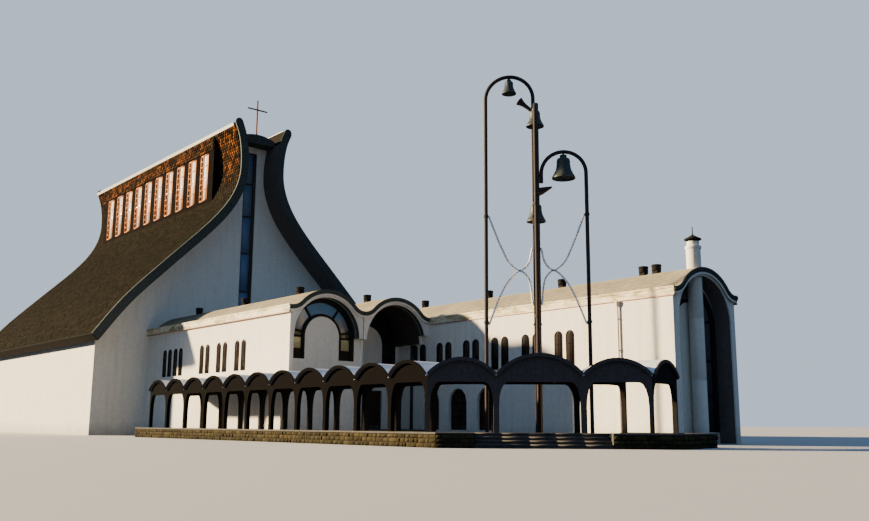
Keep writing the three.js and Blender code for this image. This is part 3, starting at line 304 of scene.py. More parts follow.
def matched(*values):
    """Numbers or arrays as arrays of one common shape."""
    return np.broadcast_arrays(*(np.asarray(value, float) for value in values))


flank_line = spline(FLANK, FLANK_STEPS)
flank_along = unit(np.gradient(flank_line, axis=0))
flank_out = np.stack([flank_along[:, 1], -flank_along[:, 0]], -1)
flank_length = np.concatenate([[0], np.cumsum(np.linalg.norm(np.diff(flank_line, axis=0), axis=1))])


def on_flank(run, lift):
    """Distance from the axis and height of points at a run along the flank, lifted off it."""
    at = [np.interp(run, flank_length, flank_line[:, k]) for k in (0, 1)]
    out = [np.interp(run, flank_length, flank_out[:, k]) for k in (0, 1)]
    return at[0] + out[0] * lift, at[1] + out[1] * lift


def flank_grid(side, run, lift, y):
    """Points of a flank surface for one side, -1 left or 1 right, from matching arrays."""
    run, lift, y = matched(run, lift, y)
    away, height = on_flank(run, lift)
    return np.stack([NAVE_X + side * away, y, height], -1)


print(f"a flank is {flank_length[-1]:.1f} m from eave to horn")

# %% Wave of the wing roofs
BAY = 5.42
RIGHT_BAY = 5.7
RIGHT_X = 2 * BAY
RIGHT_END_X = RIGHT_X + RIGHT_BAY
LEFT_MID_X, PORCH_MID_X = BAY / 2, BAY * 1.5
RIGHT_MID_X = RIGHT_X + RIGHT_BAY / 2
VALLEY = 8.0
WAVE_RISE = 1.15
RIGHT_WAVE_RISE = 1.3
CROWN_RADIUS = 2.75
OVERHANG = 0.12
RIGHT_FRONT_Y = -19.7


def wave_height(x):
    """A crown arc and two valley arcs that meet without a kink, bay by bay, and level outside."""
    x = np.asarray(x, float)
    in_right = x > RIGHT_X
    half = np.where(in_right, RIGHT_BAY, BAY) / 2
    rise = np.where(in_right, RIGHT_WAVE_RISE, WAVE_RISE)
    start = np.where(in_right, RIGHT_X, np.where(x > BAY, BAY, 0.0))
    away = np.minimum(np.abs(x - start - half), half)
    radii = (rise**2 + half**2) / (2 * rise)
    valley = radii - CROWN_RADIUS
    crown = VALLEY + rise - CROWN_RADIUS + np.sqrt(np.maximum(CROWN_RADIUS**2 - away**2, 0))
    dip = VALLEY + valley - np.sqrt(np.maximum(valley**2 - (half - away) ** 2, 0))
    return np.where(away <= half * CROWN_RADIUS / radii, crown, dip)


# %% Vaults of the covered walk
WALK_VALLEY = 3.1
WALK_RISE = 0.23
WALK_DEEP = 2.65
WALK_BAY = 2.653
WALK_START = np.array([-3.35, 12.14])
LONG_BAYS, GATE_BAYS, LAST_BAYS = [WALK_BAY] * 11, [2.95, 3.72, 2.9], [2.95]
LONG_TURN, GATE_TURN, LAST_TURN = -90, -42, 15  # degrees from +X in plan
TERRACE = 0.6


def heading(degrees):
    """Unit plan direction of an angle from +X."""
    return np.array([np.cos(np.radians(degrees)), np.sin(np.radians(degrees))])


class Run:
    """A straight run of the walk: its start in plan, its direction, its bays and its mitred ends."""

    def __init__(self, start, turn, bays):
        self.start = np.asarray(start, float)
        self.along = heading(turn)
        self.inward = np.array([-self.along[1], self.along[0]])
        self.edges = np.concatenate([[0], np.cumsum(bays)])
        self.slopes = [0.0, 0.0]  # change of each end's place for a metre inwards
        self.end = self.start + self.edges[-1] * self.along

    def place(self, along, deep, z):
        """Real coordinates of points at a distance along the run, a depth inwards and a height."""
        along, deep, z = matched(along, deep, z)
        plan = self.start + along[..., None] * self.along + deep[..., None] * self.inward
        return np.concatenate([plan, z[..., None]], -1)

    def limits(self, bay, deep):
        """Where a bay starts and ends at a depth: the run's own ends are cut along the mitres."""
        low, high = self.edges[bay], self.edges[bay + 1]
        start = np.maximum(low, deep * self.slopes[0])
        return start, np.minimum(high, self.edges[-1] + deep * self.slopes[1])

    def vault(self, bay, along):
        """Height over the floor line of the bay's arc: a circle through both valleys."""
        wide = self.edges[bay + 1] - self.edges[bay]
        rise = wide * WALK_RISE
        radius = (rise**2 + (wide / 2) ** 2) / (2 * rise)
        off = along - self.edges[bay] - wide / 2
        return WALK_VALLEY + rise - radius + np.sqrt(radius**2 - off**2)


left_run = Run(WALK_START, LONG_TURN, LONG_BAYS)
gate_run = Run(left_run.end, GATE_TURN, GATE_BAYS)
last_run = Run(gate_run.end, LAST_TURN, LAST_BAYS)
RUNS = [left_run, gate_run, last_run]
for before, after in zip(RUNS, RUNS[1:]):
    mitre = unit(before.inward + after.inward)
    before.slopes[1] = (mitre @ before.along) / (mitre @ before.inward)
    after.slopes[0] = (mitre @ after.along) / (mitre @ after.inward)
print("walk runs end at", [run.end.round(2).tolist() for run in RUNS])

# %% [markdown]
# ## Shader groups
# Weather treats all the materials of a building alike: rain leaves streaks, dirt splashes up round
# its feet, and edges lose their paint. Each of these is built once as a node group with named
# inputs and outputs, and every material places it with values of its own. The groups hand out
# colours, masks and heights only, and the shader itself stays in the material.


# %% Node helpers
def feed(tree, socket, value):
    """Links an input to another node's output or sets its value. A colour gets its fourth number."""
    if isinstance(value, bpy.types.NodeSocket):
        tree.links.new(value, socket)
    elif socket.type == "RGBA":
        socket.default_value = (*value, 1.0)[:4]
    else:
        socket.default_value = value


def add(tree, kind, settings=None, **inputs):
    """Adds a shader node. An input's name has _ for a space, or is n0, n1 for its number."""
    made_node = tree.nodes.new("ShaderNode" + kind)
    for key, value in (settings or {}).items():
        setattr(made_node, key, value)
    for key, value in inputs.items():
        numbered = key[0] == "n" and key[1:].isdigit()
        feed(tree, made_node.inputs[int(key[1:]) if numbered else key.replace("_", " ")], value)
    return made_node


def maths(tree, operation, a, b):
    """One number from two."""
    return add(tree, "Math", {"operation": operation}, n0=a, n1=b).outputs[0]


def blend(tree, factor, a, b, mode="MIX"):
    """One colour from two."""
    mix = {"data_type": "RGBA", "blend_type": mode}
    return add(tree, "Mix", mix, n0=factor, n6=a, n7=b).outputs[2]


def spread(tree, value, low, high, to_low=0.0, to_high=1.0):
    """A number taken from one range to another and held inside it."""
    made_node = add(tree, "MapRange", {"clamp": True}, Value=value)
    for name, number in (("From Min", low), ("From Max", high), ("To Min", to_low), ("To Max", to_high)):
        made_node.inputs[name].default_value = number
    return made_node.outputs["Result"]


def new_group(name, inputs, outputs):
    """An empty node group with float, colour or vector sockets, and its two end nodes."""
    kinds = {"float": "NodeSocketFloat", "colour": "NodeSocketColor", "vector": "NodeSocketVector"}
    group = bpy.data.node_groups.new(name, "ShaderNodeTree")
    for label, kind, value in inputs:
        socket = group.interface.new_socket(label, in_out="INPUT", socket_type=kinds[kind])
        if value is not None:
            socket.default_value = value
    for label, kind in outputs:
        group.interface.new_socket(label, in_out="OUTPUT", socket_type=kinds[kind])
    return group, group.nodes.new("NodeGroupInput").outputs, group.nodes.new("NodeGroupOutput").inputs


def use(tree, group, **inputs):
    """Places a group in a material and returns its outputs."""
    made_node = tree.nodes.new("ShaderNodeGroup")
    made_node.node_tree = group
    for key, value in inputs.items():
        feed(tree, made_node.inputs[key.replace("_", " ")], value)
    return made_node.outputs


# %% Grain group
def grain_group():
    """Two noises, one four times finer: a tone that wanders and a height for the bump."""
    group, given, out = new_group(
        "grain", [("Vector", "vector", None), ("Scale", "float", 20.0)],
        [("Tone", "float"), ("Height", "float")])
    coarse = add(group, "TexNoise", Vector=given["Vector"], Scale=given["Scale"], Detail=5.0).outputs[0]
    finer = maths(group, "MULTIPLY", given["Scale"], 4.0)
    fine = add(group, "TexNoise", Vector=given["Vector"], Scale=finer, Detail=3.0).outputs[0]
    group.links.new(spread(group, coarse, 0.32, 0.68), out["Tone"])
    group.links.new(maths(group, "ADD", maths(group, "MULTIPLY", coarse, 0.6),
                          maths(group, "MULTIPLY", fine, 0.4)),
                    out["Height"])
    return group


GRAIN = grain_group()


# %% Weather group
def weather_group():
    """Rain streaks, which are noise drawn out downwards, and splashes that fade over a height."""
    group, given, out = new_group(
        "weather",
        [("Vector", "vector", None), ("Colour", "colour", None), ("Dirt", "colour", None),
         ("Streaks", "float", 0.3), ("Splash", "float", 0.5), ("Splash Height", "float", 0.4)],
        [("Colour", "colour"), ("Mask", "float")])
    drawn = add(group, "Mapping", Vector=given["Vector"], Scale=(5.0, 5.0, 0.35)).outputs[0]
    noise = add(group, "TexNoise", Vector=drawn, Scale=1.3, Detail=6.0, Roughness=0.62).outputs[0]
    streaks = maths(group, "MULTIPLY", spread(group, noise, 0.48, 0.75), given["Streaks"])
    height = add(group, "SeparateXYZ", Vector=given["Vector"]).outputs[2]
    patch = add(group, "TexNoise", Vector=given["Vector"], Scale=3.0, Detail=5.0).outputs[0]
    share = maths(group, "DIVIDE", height, given["Splash Height"])
    low = maths(group, "SUBTRACT", maths(group, "ADD", patch, 0.5), share)
    splash = maths(group, "MULTIPLY", spread(group, low, 0.0, 1.0), given["Splash"])
    mask = add(group, "Math", {"operation": "ADD", "use_clamp": True}, n0=streaks, n1=splash).outputs[0]
    group.links.new(blend(group, mask, given["Colour"], given["Dirt"]), out["Colour"])
    group.links.new(mask, out["Mask"])
    return group


WEATHER = weather_group()


# %% Edge wear group
def edge_group():
    """Where a rounded copy of the surface would face another way, an edge is worn."""
    group, given, out = new_group(
        "edge wear", [("Vector", "vector", None), ("Radius", "float", 0.01), ("Amount", "float", 1.0)],
        [("Mask", "float")])
    rounded = add(group, "Bevel", {"samples": 4}, Radius=given["Radius"]).outputs[0]
    true = add(group, "NewGeometry").outputs["True Normal"]
    same = add(group, "VectorMath", {"operation": "DOT_PRODUCT"}, n0=rounded, n1=true).outputs["Value"]
    edge = spread(group, maths(group, "SUBTRACT", 1.0, same), 0.02, 0.25)
    noise = add(group, "TexNoise", Vector=given["Vector"], Scale=14.0, Detail=6.0).outputs[0]
    broken = spread(group, noise, 0.42, 0.6)
    group.links.new(maths(group, "MULTIPLY", maths(group, "MULTIPLY", edge, broken), given["Amount"]),
                    out["Mask"])
    return group


EDGES = edge_group()
print("groups:", [group.name for group in (GRAIN, WEATHER, EDGES)])

# %% [markdown]
# ## Materials
# A material starts from a principled shader with its plain values set on the sockets. Its colour,
# roughness and bump then come from the groups. Solids read Object coordinates, which are the
# model's own metres, and pieces whose pattern follows the surface read marks of their own.


# %% Material helper
def finish(name, roughness, metallic=0.0, **plain):
    """A new material with its shader, its Object coordinates and its plain socket values."""
    material = bpy.data.materials.new(name)
    material.use_nodes = True
    tree = material.node_tree
    shader = tree.nodes["Principled BSDF"]
    shader.inputs["Roughness"].default_value = roughness
    shader.inputs["Metallic"].default_value = metallic
    for key, value in plain.items():
        shader.inputs[key.replace("_", " ")].default_value = value
    coordinates = add(tree, "TexCoord").outputs["Object"]
    return material, tree, shader, coordinates


def bump(tree, shader, height, strength, distance):
    """Raises the surface by a height field."""
    made_node = add(tree, "Bump", Height=height, Strength=strength, Distance=distance)
    tree.links.new(made_node.outputs[0], shader.inputs["Normal"])


# %% Painted stucco
def stucco_material():
    """Cream paint on sand render: a fine bump, wandering tone, streaks and splashed feet."""
    material, tree, shader, at = finish("stucco", 0.9)
    grain = use(tree, GRAIN, Vector=at, Scale=9.0)
    tone = blend(tree, grain["Tone"], (0.80, 0.765, 0.67), (0.89, 0.855, 0.755))
    aged = use(tree, WEATHER, Vector=at, Colour=tone, Dirt=(0.36, 0.34, 0.29), Streaks=0.22, Splash=0.55,
               Splash_Height=0.5)
    tree.links.new(aged["Colour"], shader.inputs["Base Color"])
    sand = add(tree, "TexNoise", Vector=at, Scale=120.0, Detail=4.0).outputs[0]
    bump(tree, shader, sand, 0.25, 0.004)
    return material


# %% Wooden scales
def scales_material():
    """Split wood: every scale has its own tone, and the tone turns warm high on the flank and near the
    front gable.
    """
    material, tree, shader, at = finish("wooden scales", 0.95, Specular_IOR_Level=0.03)
    tone = add(tree, "Attribute", {"attribute_name": "tone"}).outputs["Fac"]
    warm = add(tree, "Attribute", {"attribute_name": "warm"}).outputs["Fac"]
    cool = blend(tree, tone, (0.011, 0.009, 0.007), (0.037, 0.030, 0.019))
    bright = add(tree, "Math", {"operation": "POWER"}, n0=tone, n1=2.2).outputs[0]
    hot = blend(tree, bright, (0.016, 0.006, 0.003), (0.46, 0.145, 0.028))
    grown = add(tree, "TexNoise", Vector=at, Scale=1.2, Detail=6.0).outputs[0]
    moss = blend(tree, spread(tree, grown, 0.42, 0.7, 0.0, 0.6), cool, (0.015, 0.020, 0.012))
    mixed = blend(tree, warm, moss, hot)
    fibre = add(tree, "Mapping", Vector=at, Scale=(12.0, 90.0, 12.0)).outputs[0]
    fibres = add(tree, "TexNoise", Vector=fibre, Scale=1.0, Detail=4.0).outputs[0]
    shaded = blend(tree, spread(tree, fibres, 0.3, 0.7, 0.0, 0.45), mixed, (0.25, 0.20, 0.14), "MULTIPLY")
    tree.links.new(shaded, shader.inputs["Base Color"])
    bump(tree, shader, fibres, 0.4, 0.006)
    return material


# %% Roof deck under the scales
def deck_material():
    """Brown felt: dark, rough and mottled. It shows only between the scales and at the eaves."""
    material, tree, shader, at = finish("roof felt", 0.95, Specular_IOR_Level=0.1)
    grain = use(tree, GRAIN, Vector=at, Scale=16.0)
    tree.links.new(blend(tree, grain["Tone"], (0.006, 0.0045, 0.003), (0.014, 0.0105, 0.006)),
                   shader.inputs["Base Color"])
    bump(tree, shader, grain["Height"], 0.3, 0.005)
    return material


# %% Mineral shingles
def shingle_material(name="mineral shingles", marked=True):
    """Beige-grey granules on felt tabs. Marks run and place give a tab its own tone and its slot."""
    material, tree, shader, at = finish(name, 0.92)
    if marked:
        run = add(tree, "Attribute", {"attribute_name": "run"}).outputs["Fac"]
        place = add(tree, "Attribute", {"attribute_name": "place"}).outputs["Fac"]
        flat = add(tree, "CombineXYZ", X=place, Y=run).outputs[0]
        tabs = add(tree, "TexBrick", {"offset": 0.5}, Vector=flat, Scale=1.0, Color1=(0.25, 0.25, 0.25, 1),
                   Color2=(0.8, 0.8, 0.8, 1), Mortar=(0.0, 0.0, 0.0, 1), Mortar_Size=0.006, Bias=0.0,
                   Brick_Width=0.33, Row_Height=0.16)
        tone = tabs.outputs["Color"]
    else:
        tone = add(tree, "TexNoise", Vector=at, Scale=6.0).outputs[0]
    base = blend(tree, tone, (0.235, 0.205, 0.145), (0.40, 0.355, 0.26))
    patches = add(tree, "TexNoise", Vector=at, Scale=0.9, Detail=5.0).outputs[0]
    worn = blend(tree, spread(tree, patches, 0.42, 0.7, 0.0, 0.45), base, (0.46, 0.41, 0.31))
    aged = use(tree, WEATHER, Vector=at, Colour=worn, Dirt=(0.12, 0.11, 0.085), Streaks=0.3, Splash=0.0)
    tree.links.new(aged["Colour"], shader.inputs["Base Color"])
    granules = add(tree, "TexNoise", Vector=at, Scale=160.0, Detail=2.0).outputs[0]
    height = maths(tree, "ADD", maths(tree, "MULTIPLY", granules, 0.3), tone)
    bump(tree, shader, height, 0.45, 0.006)
    return material


# %% Paints and metals
def paint_material(name, dark, light, worn, roughness=0.5, metallic=0.0, wear=0.6, radius=0.006, grain=18.0,
                   streaks=0.2, dirt=(0.05, 0.043, 0.032), rough_spread=0.18, **plain):
    """Paint or patina: two near tones, a few streaks, worn edges and uneven gloss."""
    material, tree, shader, at = finish(name, roughness, metallic, **plain)
    field = use(tree, GRAIN, Vector=at, Scale=grain)
    tone = blend(tree, field["Tone"], dark, light)
    aged = use(tree, WEATHER, Vector=at, Colour=tone, Dirt=dirt, Streaks=streaks, Splash=0.25,
               Splash_Height=0.3)
    edge = use(tree, EDGES, Vector=at, Radius=radius, Amount=wear)
    tree.links.new(blend(tree, edge["Mask"], aged["Colour"], worn), shader.inputs["Base Color"])
    gloss = spread(tree, field["Tone"], 0.0, 1.0, roughness - rough_spread / 2,
                   roughness + rough_spread / 2)
    tree.links.new(gloss, shader.inputs["Roughness"])
    bump(tree, shader, field["Height"], 0.12, 0.003)
    return material


def band_material():
    """Cream sheet with lichen: a noise drawn out along the eave leaves olive and brown patches."""
    material, tree, shader, at = finish("eave band", 0.6, Specular_IOR_Level=0.2)
    field = use(tree, GRAIN, Vector=at, Scale=5.0)
    cream = blend(tree, field["Tone"], (0.74, 0.64, 0.42), (0.90, 0.82, 0.60))
    drawn = add(tree, "Mapping", Vector=at, Scale=(1.0, 1.0, 3.2)).outputs[0]
    growth = add(tree, "TexNoise", Vector=drawn, Scale=1.5, Detail=6.0, Roughness=0.7).outputs[0]
    mossy = blend(tree, spread(tree, growth, 0.46, 0.60, 0.0, 0.85), cream, (0.26, 0.23, 0.075))
    soot = add(tree, "TexNoise", Vector=drawn, Scale=4.5, Detail=5.0).outputs[0]
    dirty = blend(tree, spread(tree, soot, 0.55, 0.70, 0.0, 0.6), mossy, (0.20, 0.13, 0.07))
    tree.links.new(dirty, shader.inputs["Base Color"])
    bump(tree, shader, field["Height"], 0.2, 0.004)
    return material


# %% Glass
def glass_material(name, low, high, height_low, height_high, roughness=0.06):
    """Dark float glass seen by daylight: it hides what is behind it, and its tint drifts with height."""
    material, tree, shader, at = finish(name, roughness, Specular_IOR_Level=0.35, IOR=1.5)
    height = add(tree, "SeparateXYZ", Vector=at).outputs[2]
    cloud = add(tree, "TexNoise", Vector=at, Scale=0.8, Detail=3.0).outputs[0]
    drift = maths(tree, "ADD", height, maths(tree, "MULTIPLY", maths(tree, "SUBTRACT", cloud, 0.5), 0.8))
    tree.links.new(blend(tree, spread(tree, drift, height_low, height_high), low, high),
                   shader.inputs["Base Color"])
    ripple = add(tree, "TexNoise", Vector=at, Scale=2.2, Detail=2.0).outputs[0]
    bump(tree, shader, ripple, 0.05, 0.01)
    return material


def ring_glass_material():
    """Glass with a painted reflection of the place before it: dark feet, straw-coloured lights, a blue
    head.
    """
    material, tree, shader, at = finish("ring glass with painted reflection", 0.06, Specular_IOR_Level=0.35, IOR=1.5)
    x, y, height = (add(tree, "SeparateXYZ", Vector=at).outputs[k] for k in range(3))
    cloud = add(tree, "TexNoise", Vector=at, Scale=2.6, Detail=4.0).outputs[0]
    drift = maths(tree, "ADD", height, maths(tree, "MULTIPLY", maths(tree, "SUBTRACT", cloud, 0.5), 0.22))
    # The colour bands by height are a painted reflection, not the glass's own tint.
    straw = blend(tree, spread(tree, height, 2.69, 2.71), (0.045, 0.030, 0.022), (0.52, 0.45, 0.23))
    olive = blend(tree, spread(tree, height, 3.095, 3.11), straw, (0.115, 0.105, 0.055))
    misty = blend(tree, spread(tree, drift, 3.25, 3.45), olive, (0.19, 0.215, 0.23))
    blue = blend(tree, spread(tree, drift, 3.62, 3.85), misty, (0.11, 0.23, 0.38))
    tree.links.new(blue, shader.inputs["Base Color"])
    return material


# %% Stone and concrete
def rubble_material():
    """Tan field stone in pale mortar. The marks stone and joint come with the facing's own relief."""
    material, tree, shader, at = finish("field stone", 0.92, Specular_IOR_Level=0.08)
    stone = add(tree, "Attribute", {"attribute_name": "stone"}).outputs["Fac"]
    joint = add(tree, "Attribute", {"attribute_name": "joint"}).outputs["Fac"]
    field = use(tree, GRAIN, Vector=at, Scale=24.0)
    tan = blend(tree, stone, (0.028, 0.021, 0.009), (0.085, 0.064, 0.027))
    mottled = blend(tree, maths(tree, "MULTIPLY", field["Tone"], 0.45), tan, (0.038, 0.040, 0.017))
    pointed = blend(tree, joint, mottled, (0.026, 0.022, 0.013))
    aged = use(tree, WEATHER, Vector=at, Colour=pointed, Dirt=(0.016, 0.015, 0.009), Streaks=0.35,
               Splash=0.5, Splash_Height=0.12)
    tree.links.new(aged["Colour"], shader.inputs["Base Color"])
    bump(tree, shader, field["Height"], 0.5, 0.006)
    return material


def concrete_material(name="concrete", slabs=0.0):
    """Grey concrete with fine pits, or floor slabs with joints where slabs gives their size. Its near-black
    tone is painted shade.
    """
    material, tree, shader, at = finish(name, 0.88)
    field = use(tree, GRAIN, Vector=at, Scale=7.0)
    # Painted shade: both tones are kept near black, as for steps that lie in shade.
    tone = blend(tree, field["Tone"], (0.065, 0.058, 0.050), (0.105, 0.094, 0.080))
    if slabs:
        joints = add(tree, "TexBrick", {"offset": 0.0}, Vector=at, Scale=1.0, Mortar_Size=0.008,
                     Brick_Width=slabs, Row_Height=slabs)
        tone = blend(tree, joints.outputs["Fac"], tone, (0.035, 0.032, 0.027))
    aged = use(tree, WEATHER, Vector=at, Colour=tone, Dirt=(0.045, 0.042, 0.030), Streaks=0.3, Splash=0.3,
               Splash_Height=0.2)
    tree.links.new(aged["Colour"], shader.inputs["Base Color"])
    pits = add(tree, "TexNoise", Vector=at, Scale=70.0, Detail=5.0).outputs[0]
    bump(tree, shader, pits, 0.3, 0.004)
    return material


# %% All finishes
STUCCO = stucco_material()
SCALES = scales_material()
DECK = deck_material()
SHINGLE = shingle_material()
PLAIN_SHINGLE = shingle_material("shingle edge", marked=False)
MATT = {"Specular_IOR_Level": 0.03}
DARK_TRIM = paint_material("dark trim", (0.016, 0.0145, 0.0145), (0.030, 0.026, 0.0245),
                           (0.05, 0.043, 0.037), 0.9, streaks=0.12, dirt=(0.022, 0.018, 0.014), **MATT)
# The walk's fronts and the gate's fronts share one near-black paint. Its copy for the long run is darker
# still, painted shade where the sun strikes it, and its copy for the gate is lighter, painted light where
# it stands in shade.
WALK_PAINT_PAINTED_SHADE = paint_material("walk paint with painted shade", (0.0025, 0.0021, 0.0021), (0.005, 0.0043, 0.0041),
                            (0.009, 0.008, 0.007), 0.95, streaks=0.12, dirt=(0.006, 0.005, 0.004), **MATT)
GATE_PAINT_PAINTED_LIGHT = paint_material("gate paint with painted light", (0.078, 0.064, 0.060), (0.117, 0.096, 0.09), (0.15, 0.125, 0.11),
                            0.9, streaks=0.12, dirt=(0.030, 0.026, 0.020), **MATT)
SOFFIT = paint_material("dark soffit", (0.11, 0.095, 0.09), (0.16, 0.14, 0.13), (0.2, 0.18, 0.16), 0.85,
                        streaks=0.1, **MATT)
GREEN_TRIM = paint_material("green trim", (0.045, 0.053, 0.050), (0.075, 0.086, 0.080), (0.16, 0.175, 0.15),
                            0.8, streaks=0.15, **MATT)
GREY_GREEN = paint_material("grey-green edge", (0.17, 0.19, 0.165), (0.26, 0.285, 0.245),
                            (0.36, 0.38, 0.32), 0.7, streaks=0.15, **MATT)
BROWN_WOOD = paint_material("brown lining", (0.050, 0.039, 0.034), (0.085, 0.066, 0.056),
                            (0.14, 0.11, 0.09), 0.85, streaks=0.15, **MATT)
DOOR_WOOD = paint_material("door wood", (0.030, 0.021, 0.015), (0.060, 0.042, 0.030), (0.12, 0.09, 0.06),
                           0.7, streaks=0.2, **MATT)
WINDOW_WOOD = paint_material("window wood", (0.012, 0.005, 0.004), (0.026, 0.011, 0.008),
                             (0.06, 0.03, 0.02), 0.9, streaks=0.1, dirt=(0.010, 0.006, 0.005), **MATT)
PIER_PAINT = paint_material("pier paint", (0.0022, 0.0008, 0.0007), (0.0045, 0.0016, 0.0012),
                            (0.02, 0.007, 0.003), 0.95, streaks=0.1, dirt=(0.002, 0.0012, 0.001), **MATT)
BAND = band_material()
MEMBRANE = paint_material("white membrane", (0.70, 0.73, 0.80), (0.80, 0.83, 0.90), (0.86, 0.88, 0.92),
                          0.55, dirt=(0.36, 0.37, 0.38), streaks=0.35, wear=0.2)
FLASHING = paint_material("white flashing", (0.80, 0.77, 0.68), (0.90, 0.87, 0.79), (0.95, 0.94, 0.9), 0.45,
                          dirt=(0.4, 0.37, 0.3), streaks=0.25, wear=0.2)
DRIP = paint_material("warm drip edge", (0.34, 0.17, 0.10), (0.52, 0.29, 0.18), (0.8, 0.56, 0.4), 0.4,
                      wear=0.3)
RED_FRAME = paint_material("red-brown frame", (0.40, 0.10, 0.022), (0.74, 0.25, 0.06), (0.90, 0.50, 0.24),
                           0.6, dirt=(0.12, 0.030, 0.010), streaks=0.5, Specular_IOR_Level=0.1)
TOWER_STEEL = paint_material("tower steel", (0.034, 0.025, 0.024), (0.055, 0.040, 0.035),
                             (0.16, 0.10, 0.07), 0.6, dirt=(0.045, 0.024, 0.017), streaks=0.4,
                             grain=7.0, Specular_IOR_Level=0.12)
BRONZE = paint_material("bell bronze", (0.036, 0.043, 0.042), (0.075, 0.085, 0.078), (0.26, 0.23, 0.15),
                        0.5, metallic=0.3, dirt=(0.06, 0.09, 0.075), streaks=0.5,
                        Specular_IOR_Level=0.25)
# The white steel's subsurface scattering carries light through the thin rods to their shaded side: painted
# light that keeps them pale all round.
WHITE_STEEL = paint_material("white steel", (0.90, 0.88, 0.86), (0.96, 0.94, 0.92), (0.80, 0.72, 0.64), 0.4,
                             wear=0.1, dirt=(0.70, 0.64, 0.58), streaks=0.05, Subsurface_Weight=1.0,
                             Subsurface_Radius=(1.0, 0.95, 0.9), Subsurface_Scale=0.03)
COPPER = paint_material("orange-red metal", (0.085, 0.026, 0.014), (0.15, 0.05, 0.026), (0.4, 0.19, 0.1),
                        0.7, metallic=0.1, dirt=(0.08, 0.03, 0.02), Specular_IOR_Level=0.1)
GREY_METAL = paint_material("pale pipe", (0.56, 0.44, 0.37), (0.70, 0.57, 0.49), (0.74, 0.62, 0.53), 0.6,
                            metallic=0.1)
DARK_GLASS = glass_material("dark glass", (0.022, 0.019, 0.016), (0.034, 0.031, 0.028), 1.0, 4.0)
RING_GLASS_PAINTED_REFLECTION = ring_glass_material()
SMOKY_GLASS = glass_material("smoky glass", (0.085, 0.072, 0.078), (0.13, 0.11, 0.115), 1.0, 4.0)
STRIP_GLASS = glass_material("strip glass", (0.12, 0.19, 0.31), (0.14, 0.22, 0.34), 4.0, 12.0)
PALE_GLASS = glass_material("pale glass", (0.84, 0.62, 0.52), (0.97, 0.86, 0.78), 9.9, 12.1, 0.18)
RUBBLE = rubble_material()
CONCRETE = concrete_material()
PAVING = concrete_material("paving", slabs=0.45)
print("finishes:", len(bpy.data.materials))

# %% Finishes of the solids
SLOT_FINISH = {
    "stucco": STUCCO, "shingle": PLAIN_SHINGLE, "scales": DECK, "dark_trim": DARK_TRIM,
    "white_skin": MEMBRANE, "dark_glass": DARK_GLASS, "red_frame": DARK_GLASS, "rubble": PAVING,
    "concrete": CONCRETE, "tower_steel": TOWER_STEEL, "bronze": BRONZE, "white_steel": WHITE_STEEL,
    "copper": COPPER,
}
# walk_front_frame takes the paint darkened with painted shade, and gate_front_frame takes the paint
# lightened with painted light.
NODE_FINISH = {
    "clerestory_left": PIER_PAINT, "clerestory_right": PIER_PAINT, "entrance_doors": DOOR_WOOD,
    "courtyard_doors": DOOR_WOOD, "gate_front_frame": GATE_PAINT_PAINTED_LIGHT, "gate_back_frame": DARK_TRIM,
    "walk_end_bay": DARK_TRIM, "walk_back_frame": DARK_TRIM, "walk_front_frame": WALK_PAINT_PAINTED_SHADE,
    "ridge_cap": GREEN_TRIM,
}
for entry in frame["record"]["subparts"]:
    solid = nodes[entry["node"]]
    solid.data.materials.clear()
    solid.data.materials.append(NODE_FINISH.get(entry["node"], SLOT_FINISH[entry["material_slot"]]))

# %% [markdown]
# ## Wooden scales on the nave
# Both flanks wear rounded wooden scales in staggered courses. Bump alone would leave the roof's
# outline smooth, so each scale is a small closed plate, raised at its butt and tucked under the
# course above. One outline is repeated by adding its offsets to every scale's place in
# one array, and a seeded draw gives each scale its tone and a little lift.

# %% Scales
SCALE_WIDE = 0.34
COURSE = 0.25
SCALE_OUTLINE = np.array([
    [-0.48, 0.13], [-0.30, 0.035], [0.0, 0.0], [0.30, 0.035], [0.48, 0.13], [0.48, 0.31], [-0.48, 0.31],
])
SCALE_TOP, SCALE_BUTT, SCALE_THICK = 0.028, 0.062, 0.026
SCALE_LOOSE = 0.012  # the most that a scale stands off its bed
CLERE_FACE = 2.6
CLERE_NEAR, CLERE_FAR = 22.9, 48.3
CLERE_SILL, CLERE_TOP = 19.9, 24.3
CLERE_ABOVE = 15  # the band cuts the flank above this height
HEAD_TOP = 25.4
HEAD_WARM, HEAD_FADE = 24.1, 0.4  # scales turn warm above this height, over this rise
FRONT_WARM_Y, FRONT_FADE_Y = 23.6, 2.0  # and near the front gable
FRONT_WARM_Z, FRONT_FADE_Z = 20.5, 2.5
draw = np.random.default_rng(11)


